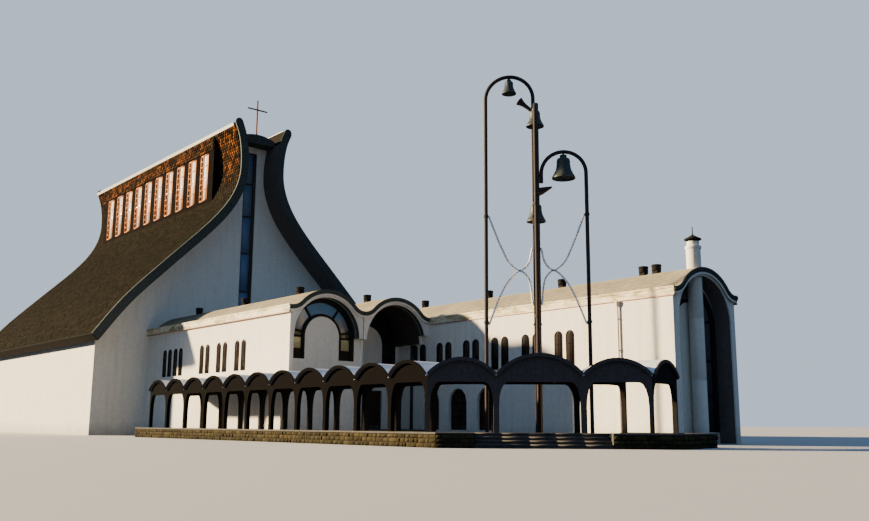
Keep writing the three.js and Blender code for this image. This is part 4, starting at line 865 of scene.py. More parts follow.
def plates(surface, rows, y0, y1, keep):
    """Staggered scales on a surface: surface(run, lift, y) gives points, keep(run, y) what stays.

    A scale's point has the run and place of its course and column plus the outline's offsets."""
    columns = np.arange(y0, y1, SCALE_WIDE)
    run, y = np.meshgrid(rows, columns, indexing="ij")
    y = y + (np.arange(len(rows)) % 2)[:, None] * SCALE_WIDE / 2
    run, y = run.ravel(), y.ravel()
    stay = keep(run + COURSE / 2, y) & (y + SCALE_WIDE / 2 < y1)
    run, y = run[stay], y[stay]
    tone, lift = draw.random(len(run)), draw.random(len(run)) * SCALE_LOOSE
    down = SCALE_OUTLINE[:, 1] / SCALE_OUTLINE[:, 1].max()
    height = SCALE_BUTT + (SCALE_TOP - SCALE_BUTT) * down
    front = surface(run[:, None] + SCALE_OUTLINE[:, 1], lift[:, None] + height,
                    y[:, None] + SCALE_WIDE * SCALE_OUTLINE[:, 0])
    back = surface(run[:, None] + SCALE_OUTLINE[:, 1], lift[:, None] + height - SCALE_THICK,
                   y[:, None] + SCALE_WIDE * SCALE_OUTLINE[:, 0])
    count, corners = len(run), len(SCALE_OUTLINE)
    points = np.concatenate([front, back], axis=1).reshape(-1, 3)
    first = np.arange(count)[:, None] * 2 * corners
    ring = np.arange(corners)
    after = (ring + 1) % corners
    sides = np.stack([ring, after, after + corners, ring + corners], -1)
    faces = [first + ring[::-1], first + ring + corners, (first[:, :, None] + sides[None]).reshape(-1, 4)]
    return (points, faces), np.repeat(tone, 2 * corners)


def nave_scales(name, side):
    """A flank's courses, left bare behind the window band, with courses over the band's own head."""
    last = flank_length[-1] - SCALE_OUTLINE[:, 1].max()

    def on_roof(run, y):
        away, height = on_flank(run, 0.0)
        beside = (y > CLERE_NEAR - 0.1) & (y < CLERE_FAR + 0.1)
        return ~(beside & (away < CLERE_FACE - 0.02) & (height > CLERE_ABOVE))

    def upright(z, lift, y):
        return np.stack([NAVE_X + side * (CLERE_FACE - 0.02 + lift) + 0 * y, y, z + 0 * y], -1)

    roof, roof_tone = plates(lambda run, lift, y: flank_grid(side, run, lift, y),
                             np.arange(0, last, COURSE), VERGE_Y + 0.25, NAVE_BACK_Y - 0.05, on_roof)
    head, head_tone = plates(upright, np.arange(CLERE_TOP, HEAD_TOP, COURSE), CLERE_NEAR + 0.2, CLERE_FAR,
                             lambda run, y: run < HEAD_TOP + COURSE)
    shape = joined([roof, head])
    x, y, z = shape[0].T
    above = np.clip((z - HEAD_WARM) / HEAD_FADE, 0, 1)
    near = np.clip((FRONT_WARM_Y - y) / FRONT_FADE_Y, 0, 1)
    front = near * np.clip((z - FRONT_WARM_Z) / FRONT_FADE_Z, 0, 1)
    patchy = 0.55 + 0.45 * np.sin(1.7 * y + 3.1 * z) * np.sin(0.9 * y - 2.3 * z)
    marks = {"tone": np.concatenate([roof_tone, head_tone]),
             "warm": np.maximum(0.75 * above, front) * patchy}
    piece(name, shape, SCALES, marks=marks, smooth=False)


nave_scales("nave_scales_left", -1)
nave_scales("nave_scales_right", 1)

# %% [markdown]
# ## Verges, soffits and ridge flashing
# The roof's front edge is a deep dark board that ends in a rounded horn, with a thin light metal
# edge along its outer side. Under the overhang the boards are dark. Along the top runs a white
# metal flashing, and a dark board closes the foot. All of them are plates or profiles on the same
# flank curve.

# %% Verge boards
VERGE_BOARD = 0.09
HORN_HALF = 0.335
HORN_STEPS = 8
EDGING_STEPS = 120


def verge_board(side, y0, y1):
    """A plate along the flank's section. Past the ridge its middle runs on straight while its
    half width falls as the cosine of an angle, which rounds the horn."""
    wide = np.linspace(-1, 1, 5)
    middle = flank_line - flank_out * ROOF_THICK / 2
    angle = np.linspace(0, np.pi / 2, HORN_STEPS + 1)[1:]
    ahead = middle[-1] + flank_along[-1] * HORN_HALF * np.sin(angle)[:, None]
    centre = np.concatenate([middle, ahead])
    out = np.concatenate([flank_out, np.repeat(flank_out[-1:], HORN_STEPS, 0)])
    half = np.concatenate([np.full(len(middle), HORN_HALF), HORN_HALF * np.cos(angle)])
    points = centre[:, None] + out[:, None] * (half[:, None] * wide)[..., None]
    plan = lambda y: np.stack([NAVE_X + side * points[..., 0], np.full(points.shape[:2], y),
                               points[..., 1]], -1)
    return slab(plan(y0), plan(y1))


piece("verge_boards", joined([verge_board(side, y, y + VERGE_BOARD) for side in (-1, 1)
                              for y in (VERGE_Y - VERGE_BOARD / 2, NAVE_BACK_Y - VERGE_BOARD / 2)]),
      GREEN_TRIM)


# %% Verge edging
def verge_edging(side, y):
    """A thin metal strip carried along the outer line of a verge board."""
    away, height = on_flank(np.linspace(0, flank_length[-1], EDGING_STEPS),
                            HORN_HALF - ROOF_THICK / 2 + 0.02)
    path = np.stack([NAVE_X + side * away, np.full(len(away), y), height], -1)
    across = unit(np.cross(np.gradient(path, axis=0), (0, 1, 0)))
    return swept(path, across, (0, 1, 0), [[-0.025, -0.06], [0.025, -0.06], [0.025, 0.03], [-0.025, 0.03]])


piece("verge_edging", joined([verge_edging(side, y) for side in (-1, 1) for y in (VERGE_Y, NAVE_BACK_Y)]),
      GREY_GREEN)


# %% Soffits
SOFFIT_BOARDS = 12
SOFFIT_STEPS = 80
SOFFIT_SHORT = 1.3  # the boards end this far before the flank's top
BOARD_THICK, BOARD_GAP = 0.035, 0.01
BACK_GABLE_Y = NAVE_BACK_Y - (GABLE_Y - VERGE_Y)


def soffit(side, y0, y1):
    """Boards under the overhang: rows of narrow plates along the flank's inner line."""
    edges = np.linspace(y0, y1, SOFFIT_BOARDS + 1)
    run = np.linspace(0, flank_length[-1] - SOFFIT_SHORT, SOFFIT_STEPS)[:, None]
    rows = []
    for low, high in zip(edges, edges[1:]):
        y = np.array([low + BOARD_GAP, high - BOARD_GAP])[None]
        rows.append(slab(flank_grid(side, run, -ROOF_THICK - BOARD_THICK, y),
                         flank_grid(side, run, -ROOF_THICK, y)))
    return joined(rows)


piece("nave_soffits", joined([soffit(side, y0, y1) for side in (-1, 1)
                              for y0, y1 in ((VERGE_Y, GABLE_Y - 0.01),
                                             (BACK_GABLE_Y + 0.01, NAVE_BACK_Y))]),
      SOFFIT)

# %% Ridge flashing and eave boards
EDGE_STEPS = 12
FLASH_HIGH = 0.09
FLASH_PROFILE = [[0.07, -0.16], [0.10, -0.16], [0.10, FLASH_HIGH], [-0.70, FLASH_HIGH], [-0.70, 0.0],
                 [0.07, 0.0]]
EAVE_BACK = -ROOF_THICK - 0.03
EAVE_PROFILE = [[0.03, 0.06], [0.05, 0.03], [0.05, -0.05], [EAVE_BACK, -0.05], [EAVE_BACK, 0.0],
                [0.0, 0.0], [0.0, 0.06]]


def nave_edge(side, end, y0, y1, profile):
    """A profile carried along one edge of a flank, 0 its foot or -1 its top, with its first axis on
    the flank's outward normal and its second along the flank's curve."""
    y = np.linspace(y0, y1, EDGE_STEPS)
    away, height = flank_line[end]
    path = np.stack([np.full(len(y), NAVE_X + side * away), y, np.full(len(y), height)], -1)
    out, along = (np.array([side * v[end][0], 0, v[end][1]]) for v in (flank_out, flank_along))
    return swept(path, out, along, profile)


piece("ridge_flashing", joined([nave_edge(side, -1, VERGE_Y + 0.35, NAVE_BACK_Y - 0.05, FLASH_PROFILE)
                                for side in (-1, 1)]), FLASHING)
piece("nave_eave_boards", joined([nave_edge(side, 0, VERGE_Y, NAVE_BACK_Y, EAVE_PROFILE)
                                  for side in (-1, 1)]), DARK_TRIM)

# %% [markdown]
# ## The window band
# Ten tall windows stand upright out of each flank. A dark pier parts one from the next. Every
# window has a red-brown frame, a narrow dark light with many crossbars and a wide pale light with
# few. They are boxes: one window is worked out as a list of bars, and all the windows are the same
# list moved along the roof.

# %% Band windows
CLERE_COUNT = 10
CLERE_CHEEK = 0.5
CLERE_OPENING = 1.5
CLERE_PITCH = (CLERE_FAR - CLERE_NEAR - 2 * CLERE_CHEEK) / CLERE_COUNT
CLERE_MIDDLES = CLERE_NEAR + CLERE_CHEEK + (np.arange(CLERE_COUNT) + 0.5) * CLERE_PITCH
WINDOW_LOW, WINDOW_HIGH = CLERE_SILL + 0.1, CLERE_TOP - 0.1
FRAME_WIDE = 0.09
NARROW_LIGHT = 0.42
NARROW_BARS, NARROW_BAR_HALF = 7, 0.035
WIDE_BARS, WIDE_BAR_HALF = 3, 0.025
BAND_FRAME = (CLERE_FACE - 0.20, CLERE_FACE + 0.02)
BAND_PANE = (CLERE_FACE - 0.07, CLERE_FACE - 0.03)


def window_bars():
    """One window's bars, each as (along low, along high, low, high) with along from the window's
    middle, and the place along it where its two lights part."""
    a, b = -CLERE_OPENING / 2, CLERE_OPENING / 2
    f = FRAME_WIDE
    split = b - f - NARROW_LIGHT
    bars = [(a, a + f, WINDOW_LOW, WINDOW_HIGH), (b - f, b, WINDOW_LOW, WINDOW_HIGH),
            (split - f, split, WINDOW_LOW, WINDOW_HIGH), (a, b, WINDOW_LOW, WINDOW_LOW + f),
            (a, b, WINDOW_HIGH - f, WINDOW_HIGH)]
    for k in range(1, NARROW_BARS + 1):
        z = WINDOW_LOW + (WINDOW_HIGH - WINDOW_LOW) * k / (NARROW_BARS + 1)
        bars.append((split, b - f, z - NARROW_BAR_HALF, z + NARROW_BAR_HALF))
    for k in range(1, WIDE_BARS + 1):
        z = WINDOW_LOW + (WINDOW_HIGH - WINDOW_LOW) * k / (WIDE_BARS + 1)
        bars.append((a + f, split - f, z - WIDE_BAR_HALF, z + WIDE_BAR_HALF))
    return np.array(bars), split


def band_boxes(side, spans, near, far):
    """Boxes for every window from spans of one: (along low, along high, low, high)."""
    spans = np.atleast_2d(spans)
    y = CLERE_MIDDLES[:, None, None] + spans[None, :, :2]
    z = np.broadcast_to(spans[None, :, 2:], y.shape)
    x = np.sort([NAVE_X + side * near, NAVE_X + side * far])
    lows = np.stack([np.full(y.shape[:2], x[0]), y[..., 0], z[..., 0]], -1).reshape(-1, 3)
    highs = np.stack([np.full(y.shape[:2], x[1]), y[..., 1], z[..., 1]], -1).reshape(-1, 3)
    return boxes(lows, highs)


bars, split = window_bars()
rim = CLERE_OPENING / 2 - FRAME_WIDE
for word, side in (("left", -1), ("right", 1)):
    piece(f"band_frames_{word}", band_boxes(side, bars, *BAND_FRAME), RED_FRAME, smooth=False)
    for tint, a, b, glass in (("pale", -rim, split - FRAME_WIDE, PALE_GLASS),
                              ("dark", split, rim, DARK_GLASS)):
        light = band_boxes(side, [a, b, WINDOW_LOW + 0.05, WINDOW_HIGH - 0.05], *BAND_PANE)
        piece(f"band_{tint}_lights_{word}", light, glass, smooth=False)

# %% [markdown]
# ## Strip windows in the gables
# A tall narrow window splits each gable: a blue pane with a few rails beside a deep dark jamb.
# The solid behind it has frame and glass in one, so two pieces stand for it here.

# %% Strip windows
STRIP_SILL, STRIP_TOP = 9.6, 24.1
STRIP_HALF = 0.6
STRIP_RAILS = np.array([9.64, 11.9, 15.2, 18.4, 21.3, 24.06])


def strip_frame(y):
    """The jambs, rails, lintel and sill of a strip window whose outer face is at y."""
    x0, x1 = NAVE_X - STRIP_HALF, NAVE_X + STRIP_HALF
    lows = [(x0, y, STRIP_SILL), (x0 + 0.94, y - 0.04, STRIP_SILL), (x0, y - 0.02, STRIP_SILL)]
    highs = [(x0 + 0.07, y + 0.12, STRIP_TOP), (x1, y + 0.12, STRIP_TOP), (x1, y + 0.12, STRIP_SILL + 0.08)]
    for z in STRIP_RAILS[1:]:
        lows.append((x0, y + 0.01, z - 0.06))
        highs.append((x1, y + 0.11, z + 0.06))
    return boxes(lows, highs)


for word, y in (("front", GABLE_Y + 0.14), ("back", BACK_GABLE_Y - 0.26)):
    piece(f"strip_frame_{word}", strip_frame(y), BROWN_WOOD, [f"strip_window_{word}"],
          smooth=False)
    lows = [(NAVE_X - STRIP_HALF + 0.05, y + 0.04, z + 0.02) for z in STRIP_RAILS[:-1]]
    highs = [(NAVE_X + 0.36, y + 0.08, z - 0.02) for z in STRIP_RAILS[1:]]
    piece(f"strip_panes_{word}", boxes(lows, highs), STRIP_GLASS, smooth=False)

# %% [markdown]
# ## Shingle courses on the wing roofs
# The wings carry flat mineral shingles whose courses run along the vaults. Each course lies over
# the one below, so the section across the roof is a row of small steps that climb to each crown.
# The roof is that section carried along the wing, and the marks run and place let the material
# cut each course into tabs.

# %% Wing shingles
SHINGLE_COURSE = 0.16
SHINGLE_LIFT = 0.035
SHINGLE_HEAD, SHINGLE_SUNK = 0.012, 0.02
SHINGLE_ROWS = 24
FINE_STEPS = 2000


def shingle_roof(x0, x1, y0, y1, crowns):
    """Steps on the wave: the lift grows from a little at a course's head to its full value at its
    butt, away from the nearest crown, and every second point starts a new course."""
    fine = np.linspace(x0, x1, FINE_STEPS)
    length = np.concatenate([[0], np.cumsum(np.hypot(np.diff(fine), np.diff(wave_height(fine))))])
    count = int(length[-1] / SHINGLE_COURSE)
    edge = np.interp(np.linspace(0, length[-1], count + 1), length, fine)
    middle = (edge[:-1] + edge[1:]) / 2
    side = np.sign(middle - np.array(crowns)[np.abs(middle[:, None] - np.array(crowns)).argmin(1)])
    x = np.stack([edge[:-1], edge[1:]], -1).ravel()
    butt = np.stack([side < 0, side > 0], -1).ravel()
    lift = SHINGLE_HEAD + SHINGLE_LIFT * butt
    slope = np.gradient(wave_height(fine), fine)
    tilt = np.interp(x, fine, slope)
    out = unit(np.stack([-tilt, np.ones_like(tilt)], -1))
    y = np.linspace(y0, y1, SHINGLE_ROWS)
    grid = lambda high: np.stack(matched(
        (x + out[:, 0] * high)[:, None], y[None], (wave_height(x) + out[:, 1] * high)[:, None]), -1)
    run = np.repeat(np.arange(len(x)) // 2, SHINGLE_ROWS) * SHINGLE_COURSE + 0.02 + 0.12 * np.repeat(
        np.arange(len(x)) % 2, SHINGLE_ROWS)
    place = np.tile(y, len(x))
    marks = {"run": np.tile(run, 2), "place": np.tile(place, 2)}
    return slab(grid(lift), grid(np.full(len(x), -SHINGLE_SUNK))), marks


shape, marks = shingle_roof(-OVERHANG, RIGHT_X, -OVERHANG + 0.02, GABLE_Y - 0.01, [LEFT_MID_X, PORCH_MID_X])
piece("left_wing_shingles", shape, SHINGLE, marks=marks)
shape, marks = shingle_roof(RIGHT_X + 0.02, RIGHT_END_X + OVERHANG, RIGHT_FRONT_Y - OVERHANG + 0.02,
                            GABLE_Y - 0.01, [RIGHT_MID_X])
piece("right_wing_shingles", shape, SHINGLE, marks=marks)

# %% [markdown]
# ## Fascias, rims and linings
# A dark fascia with a rolled upper edge follows the wave across the front of each wing. Under it
# the white arches have a raised rim, and the inside of each arch is lined in dark green. The
# fascia is a moulded profile carried along the wave, and the rims and linings are profiles
# carried round half circles.

# %% Wave fascias
FASCIA = np.array([
    [0.0, -0.215], [0.05, -0.215], [0.055, -0.13], [0.08, -0.11], [0.09, -0.03], [0.085, 0.02],
    [0.065, 0.05], [0.0, 0.05],
])
UNDER_FASCIA = np.array([[0.0, -0.325], [0.02, -0.325], [0.03, -0.315], [0.03, -0.2], [0.0, -0.2]])
LEFT_STEPS, RIGHT_STEPS = 160, 90


def wave_fascia(x0, x1, y, steps, profile=FASCIA):
    """A profile with its first axis out to the front and its second along the wave's normal."""
    x = np.linspace(x0, x1, steps)
    z = wave_height(x)
    path = np.stack([x, np.full(steps, y), z], -1)
    along = unit(np.gradient(path, axis=0))
    return swept(path, (0, -1, 0), np.cross((0, -1, 0), along), profile)


piece("wing_fascias", joined([
    wave_fascia(-OVERHANG - 0.02, RIGHT_X - 0.01, -OVERHANG, LEFT_STEPS),
    wave_fascia(RIGHT_X + 0.01, RIGHT_END_X + OVERHANG + 0.02, RIGHT_FRONT_Y - OVERHANG, RIGHT_STEPS)]),
    GREEN_TRIM)
piece("wing_fascia_boards", joined([
    wave_fascia(-OVERHANG, RIGHT_X - 0.01, -OVERHANG, LEFT_STEPS, UNDER_FASCIA),
    wave_fascia(RIGHT_X + 0.01, RIGHT_END_X - 0.01, RIGHT_FRONT_Y - OVERHANG, RIGHT_STEPS, UNDER_FASCIA)]),
    STUCCO)

# %% Arch rims and linings
SPRING = 6.3
ARCH_RADIUS = 2.43
HOOD_END = 6.85
RIGHT_SPRING = 6.48
RIGHT_ARCH_RADIUS = 2.42
HOOD_DEEP = 0.62
PORCH_DEEP = 3.3
RECESS_DEEP = 1.0
BEAD_Y = 0.33
CORBEL_X = BAY
PORCH_PIER = (5.57, 5.86)


def half_ring(x, y, radius, profile, foot=None, spring=SPRING, first=0.0, steps=48):
    """A profile carried round a half circle, with its first axis outwards from the centre and its
    second along +Y. With a foot its two legs run straight down to that height, and with a first
    angle the right end stops short."""
    angle = np.linspace(first, np.pi, steps + 1)
    out = np.stack([np.cos(angle), 0 * angle, np.sin(angle)], -1)
    path = np.array([x, y, spring]) + radius * out
    if foot is not None:
        ends = np.array([[x + radius, y, foot], [x - radius, y, foot]])
        path, out = np.concatenate([ends[:1], path, ends[1:]]), np.concatenate([out[:1], out, out[-1:]])
    return swept(path, out, (0, 1, 0), profile)


HOOD_FIRST = np.arcsin((HOOD_END - SPRING) / ARCH_RADIUS)
RIM = [[-0.015, 0.03], [-0.015, -0.03], [0.0, -0.045], [0.08, -0.045], [0.10, -0.02], [0.10, 0.03]]
LEFT_HOOD = {"x": LEFT_MID_X, "y": 0, "radius": ARCH_RADIUS}
PORCH_HOOD = {"x": PORCH_MID_X, "y": 0, "radius": ARCH_RADIUS, "first": HOOD_FIRST}
END_HOOD = {"x": RIGHT_MID_X, "y": RIGHT_FRONT_Y, "radius": RIGHT_ARCH_RADIUS, "foot": 0.02,
            "spring": RIGHT_SPRING}
FRONT_HOODS = (LEFT_HOOD, PORCH_HOOD)
piece("arch_rims", joined([half_ring(profile=RIM, **hood) for hood in (*FRONT_HOODS, END_HOOD)]),
      STUCCO)


def lining(deep, y0=0.05):
    """A thin curved board from y0 to a depth."""
    return [[0.0, y0], [-0.02, y0], [-0.025, y0 + 0.01], [-0.025, deep], [0.0, deep]]


def bead(y0, out=0.05, wide=0.06):
    """A narrow strip with chamfered edges that stands off a lining."""
    return [[-0.02, y0], [0.01 - out, y0], [-out, y0 + 0.015], [-out, y0 + wide - 0.015],
            [0.01 - out, y0 + wide], [-0.02, y0 + wide]]


piece("arch_linings", joined([half_ring(profile=lining(HOOD_DEEP), **hood) for hood in FRONT_HOODS]),
      GREEN_TRIM)
piece("arch_beads", joined([half_ring(profile=bead(BEAD_Y), **hood) for hood in FRONT_HOODS]),
      GREY_GREEN)
piece("porch_lining", half_ring(PORCH_MID_X, 0, ARCH_RADIUS, lining(PORCH_DEEP - 0.01, HOOD_DEEP)),
      BROWN_WOOD)
piece("end_lining", half_ring(profile=lining(RECESS_DEEP - 0.005), **END_HOOD), SOFFIT)
piece("porch_pier", boxes((PORCH_PIER[0], HOOD_DEEP + 0.01, TERRACE),
                          (PORCH_PIER[1], HOOD_DEEP + 0.32, SPRING - 0.01)),
      STUCCO, smooth=False)
piece("corbel_joint", boxes((CORBEL_X - 0.015, -0.012, SPRING), (CORBEL_X + 0.015, 0.01, VALLEY - 0.3)),
      DARK_TRIM, smooth=False)

# %% Eave bands and drips
BAND_PROFILE = [[-0.02, -0.36], [0.03, -0.36], [0.03, -0.05], [0.06, -0.02], [0.065, 0.06], [0.03, 0.10],
                [-0.02, 0.11]]
DRIP_PROFILE = [[-0.09, -0.43], [0.05, -0.43], [0.07, -0.41], [0.07, -0.37], [0.04, -0.355],
                [-0.09, -0.355]]
BAND_LENGTH, BAND_GAP = 2.4, 0.004
DRIP_LENGTH, DRIP_GAP = 3.6, 0.002
EAVES = [(-OVERHANG, -1, -OVERHANG, GABLE_Y - 0.02),
         (RIGHT_X, -1, RIGHT_FRONT_Y - OVERHANG, -OVERHANG - 0.05),
         (RIGHT_END_X + OVERHANG, 1, RIGHT_FRONT_Y - OVERHANG, GABLE_Y - 0.02)]


def along_eaves(profile, gap, length):
    """A profile carried along every eave in lengths of sheet metal with a small joint between."""
    runs = []
    for x, side, y0, y1 in EAVES:
        count = max(1, round((y1 - y0) / length))
        edges = np.linspace(y0, y1, count + 1)
        for low, high in zip(edges, edges[1:]):
            path = np.array([[x, low + gap, VALLEY], [x, high - gap, VALLEY]])
            runs.append(swept(path, (side, 0, 0), (0, 0, 1), profile))
    return joined(runs)


piece("eave_bands", along_eaves(BAND_PROFILE, BAND_GAP, BAND_LENGTH), BAND)
piece("eave_drips", along_eaves(DRIP_PROFILE, DRIP_GAP, DRIP_LENGTH), DRIP)

# %% [markdown]
# ## Roof turrets
# Round ventilation turrets stand on square curbs along the crowns. The solids of the roofs already
# hold them as rough blocks, so the turned heads are a little larger and cover those.

# %% Turrets
LEFT_VENTS = [18.15, 10.8, 3.4]
PORCH_VENT = 3.4
RIGHT_VENTS = [3.8, -3.0, -9.6, -15.8, -16.7]
LEFT_CROWN = VALLEY + WAVE_RISE
RIGHT_CROWN = VALLEY + RIGHT_WAVE_RISE
VENTS = [*((LEFT_MID_X, y, LEFT_CROWN) for y in LEFT_VENTS), (PORCH_MID_X, PORCH_VENT, LEFT_CROWN),
         *((RIGHT_MID_X, y, RIGHT_CROWN) for y in RIGHT_VENTS)]
TURRET = [[0.0, 0.27], [0.27, 0.27], [0.275, 0.30], [0.262, 0.31], [0.262, 0.36], [0.275, 0.37],
          [0.275, 0.40], [0.262, 0.41], [0.262, 0.46], [0.275, 0.47], [0.275, 0.50], [0.29, 0.51],
          [0.29, 0.56], [0.26, 0.60], [0.10, 0.625], [0.0, 0.63]]
CURB_HALF, CURB_FOOT_HALF = 0.18, 0.25


def turret(at):
    """A louvred head on a square curb with a spreading foot."""
    x, y, z = at
    a, b = CURB_HALF, CURB_FOOT_HALF
    curb = boxes([(x - a, y - a, z - 0.02), (x - b, y - b, z - 0.04)],
                 [(x + a, y + a, z + 0.30), (x + b, y + b, z + 0.05)])
    return joined([turned(TURRET, at, 24), curb])


piece("roof_turrets", joined([turret(at) for at in VENTS]), DARK_TRIM)

# %% [markdown]
# ## Ring windows
# Over the plain arched panels stand glazed rings: an upside-down U of panes between two curved
# frames, with bars that point to the centre. Frames are square profiles carried along U-shaped
# paths, and the panes are one plate between the two paths.

# %% Ring windows
RING_OUTER, RING_INNER = 2.3, 1.3
RING_SILL = 4.87
RING_SET = 0.1
RING_FRAME = 0.14
RING_BAND = (2.14, 2.41)
RING_ANGLES = np.radians([10, 55, 125, 170])
RING_RAILS = [RING_SILL, 5.38, 6.2]
END_RAILS = [TERRACE, 2.5, 4.4]


def inverted_u(radius, low, steps=40):
    """Outward directions and points of a U turned over: up one leg, round the top and down."""
    angle = np.linspace(0, np.pi, steps + 1)
    out = np.stack([np.cos(angle), 0 * angle, np.sin(angle)], -1)
    arc = radius * out + (0, 0, SPRING)
    right_foot, left_foot = np.array([radius, 0, low]), np.array([-radius, 0, low])
    return np.vstack([out[:1], out, out[-1:]]), np.vstack([right_foot, arc, left_foot])


def ring_frame(x, y, rails):
    """Both curved frames, the bars between them and the rails of the two legs. The outer frame is a
    wide casing that laps over the wall as far as the arch's lining."""
    f = RING_FRAME
    square = [[-f / 2, 0.0], [f / 2 - 0.015, 0.0], [f / 2, 0.015], [f / 2, 0.12], [-f / 2, 0.12]]
    near, far = RING_BAND
    casing = [[near, -0.08], [near + 0.02, -RING_SET - 0.03], [far, -RING_SET - 0.03], [far, -RING_SET],
              [RING_OUTER, -RING_SET], [RING_OUTER, 0.12], [near, 0.12]]
    out, path = inverted_u(0.0, rails[0])
    parts = [swept(path + (x, y, 0), out, (0, 1, 0), casing)]
    out, path = inverted_u(RING_INNER, rails[0])
    inner = [[-0.03, -RING_SET - 0.02], [0.0, -RING_SET - 0.03], [f - 0.03, -RING_SET - 0.03], [f, -0.08],
             [f, 0.12], [0.0, 0.12], [0.0, -RING_SET], [-0.03, -RING_SET]]
    parts.append(swept(path + (x, y, 0), out, (0, 1, 0), inner))
    for angle in RING_ANGLES:
        out = np.array([np.cos(angle), 0, np.sin(angle)])
        ends = np.array([x, y, SPRING]) + np.outer([RING_INNER, RING_OUTER], out)
        parts.append(swept(ends, np.cross(out, (0, 1, 0)), (0, 1, 0), square))
    for side in (-1, 1):
        a, b = np.sort([x + side * RING_INNER, x + side * RING_OUTER])
        for z in rails:
            parts.append(boxes((a, y + 0.005, z), (b, y + 0.115, z + f)))
    return joined(parts)


def ring_panes(x, y, rails):
    """A plate between the two U paths, in five steps across."""
    low = rails[0] + 0.02
    outer, inner = (inverted_u(r, low)[1] for r in (RING_OUTER - 0.03, RING_INNER + 0.03))
    share = np.linspace(0, 1, 6)[None, :, None]
    grid = inner[:, None] * (1 - share) + outer[:, None] * share + (x, 0, 0)
    return slab(grid + (0, y + 0.05, 0), grid + (0, y + 0.09, 0))


RINGS = {
    "left": (LEFT_MID_X, HOOD_DEEP + RING_SET, RING_RAILS, RING_GLASS_PAINTED_REFLECTION, "left_ring_window"),
    "porch": (PORCH_MID_X, PORCH_DEEP + RING_SET, RING_RAILS, DARK_GLASS, "porch_ring_window"),
    "end": (RIGHT_MID_X, RIGHT_FRONT_Y + RECESS_DEEP + RING_SET, END_RAILS, SMOKY_GLASS, "end_window"),
}
for word, (x, y, rails, glass, window) in RINGS.items():
    piece(f"ring_frame_{word}", ring_frame(x, y, rails), DARK_TRIM, [window])
    piece(f"ring_panes_{word}", ring_panes(x, y, rails), glass, smooth=False)

# %% [markdown]
# ## Round-headed windows
# Narrow windows with round heads stand in pairs along the wings. Each opening gets a dark frame
# that is carried up one side, round the head and down the other, one middle bar and three
# crossbars, and a pane of its own. The frame stands a little proud of the plaster and the pane is
# almost flush with it, so that a window seen at a sharp angle is not hidden by its own reveal.

# %% Round-headed windows
WINDOW_SILL = 4.3
PAIR_HALF = 0.4425
TRIM_HALF, TRIM_TOP = 0.31, 6.31
TRIM_PROUD = 0.018
CROSSBARS = (WINDOW_SILL + 0.03, 4.92, 5.55)
PAIR_PITCH = 2.645
LEFT_PAIRS = np.array([6.13, 8.71, 11.26, 15.55, 17.4])
RIGHT_PAIRS = 1.01 - PAIR_PITCH * np.arange(6)
OUTER_PAIRS = 17.07 - PAIR_PITCH * np.arange(13)


def wall_place(x, side, depth, y, z):
    """Points in a wall whose outer face is at x and faces side: depth goes into the wall."""
    depth, y, z = matched(depth, y, z)
    return np.stack([x - side * depth, y, z], -1)


def arched_frame(x, side, y, half, foot, top, wide, deep, back):
    """A rectangular profile carried up, round the head and down inside an arched opening."""
    angle = np.linspace(0, np.pi, 17)
    radius = half - wide / 2
    spring = top - half
    along = np.concatenate([[radius], radius * np.cos(angle), [-radius]])
    up = np.concatenate([[foot], spring + radius * np.sin(angle), [foot]])
    out = np.stack([0 * along, np.concatenate([[1], np.cos(angle), [-1]]),
                    np.concatenate([[0], np.sin(angle), [0]])], -1)
    profile = [[-wide / 2, 0], [wide / 2, 0], [wide / 2, deep], [-wide / 2, deep]]
    return swept(wall_place(x, side, back, y + along, up), out, (-side, 0, 0), profile)


def arched_pane(x, side, y, half, foot, top, back, thick=0.02):
    """A plate whose half width is constant up to the spring and then falls along a circle."""
    spring = top - half
    z = np.concatenate([[foot], spring + half * np.sin(np.linspace(0, np.pi / 2, 9))])
    wide = np.sqrt(np.maximum(half**2 - np.maximum(z - spring, 0) ** 2, 0))
    share = np.linspace(-1, 1, 3)
    plate = lambda depth: wall_place(x, side, depth, y + wide[:, None] * share, z[:, None])
    return slab(plate(back), plate(back + thick))


def wall_box(x, side, y0, y1, z0, z1, back, deep):
    """A bar in the wall's own directions."""
    a, b = np.sort([x - side * back, x - side * (back + deep)])
    return boxes((a, y0, z0), (b, y1, z1))


def paired_windows(x, side, centres):
    """Frames with their bars, and panes, for all the windows of one wall."""
    frames, panes = [], []
    for y in np.add.outer(centres, [-PAIR_HALF, PAIR_HALF]).ravel():
        frames.append(arched_frame(x, side, y, TRIM_HALF, WINDOW_SILL, TRIM_TOP, 0.06, 0.07, -TRIM_PROUD))
        frames.append(wall_box(x, side, y - 0.014, y + 0.014, WINDOW_SILL, TRIM_TOP - 0.04, -TRIM_PROUD,
                               0.05))
        for z in CROSSBARS:
            frames.append(wall_box(x, side, y - TRIM_HALF + 0.02, y + TRIM_HALF - 0.02, z - 0.02, z + 0.02,
                                   -TRIM_PROUD, 0.05))
        panes.append(arched_pane(x, side, y, TRIM_HALF - 0.03, WINDOW_SILL, TRIM_TOP - 0.03, -0.006))
    return joined(frames), joined(panes)


for word, x, side, centres in (("left", 0.0, -1, LEFT_PAIRS), ("court", RIGHT_X, -1, RIGHT_PAIRS),
                               ("outer", RIGHT_END_X, 1, OUTER_PAIRS)):
    frames, panes = paired_windows(x, side, centres)
    piece(f"round_frames_{word}", frames, WINDOW_WOOD, smooth=False)
    piece(f"round_panes_{word}", panes, DARK_GLASS, smooth=False)

# %% [markdown]
# ## Doors
# Three low round-headed doorways lead from the courtyard into the long wing, and a pair of
# panelled leaves closes the porch. The solids give the leaves as flat sheets, so frames, meeting
# stiles, rails and handles are added in front of them.

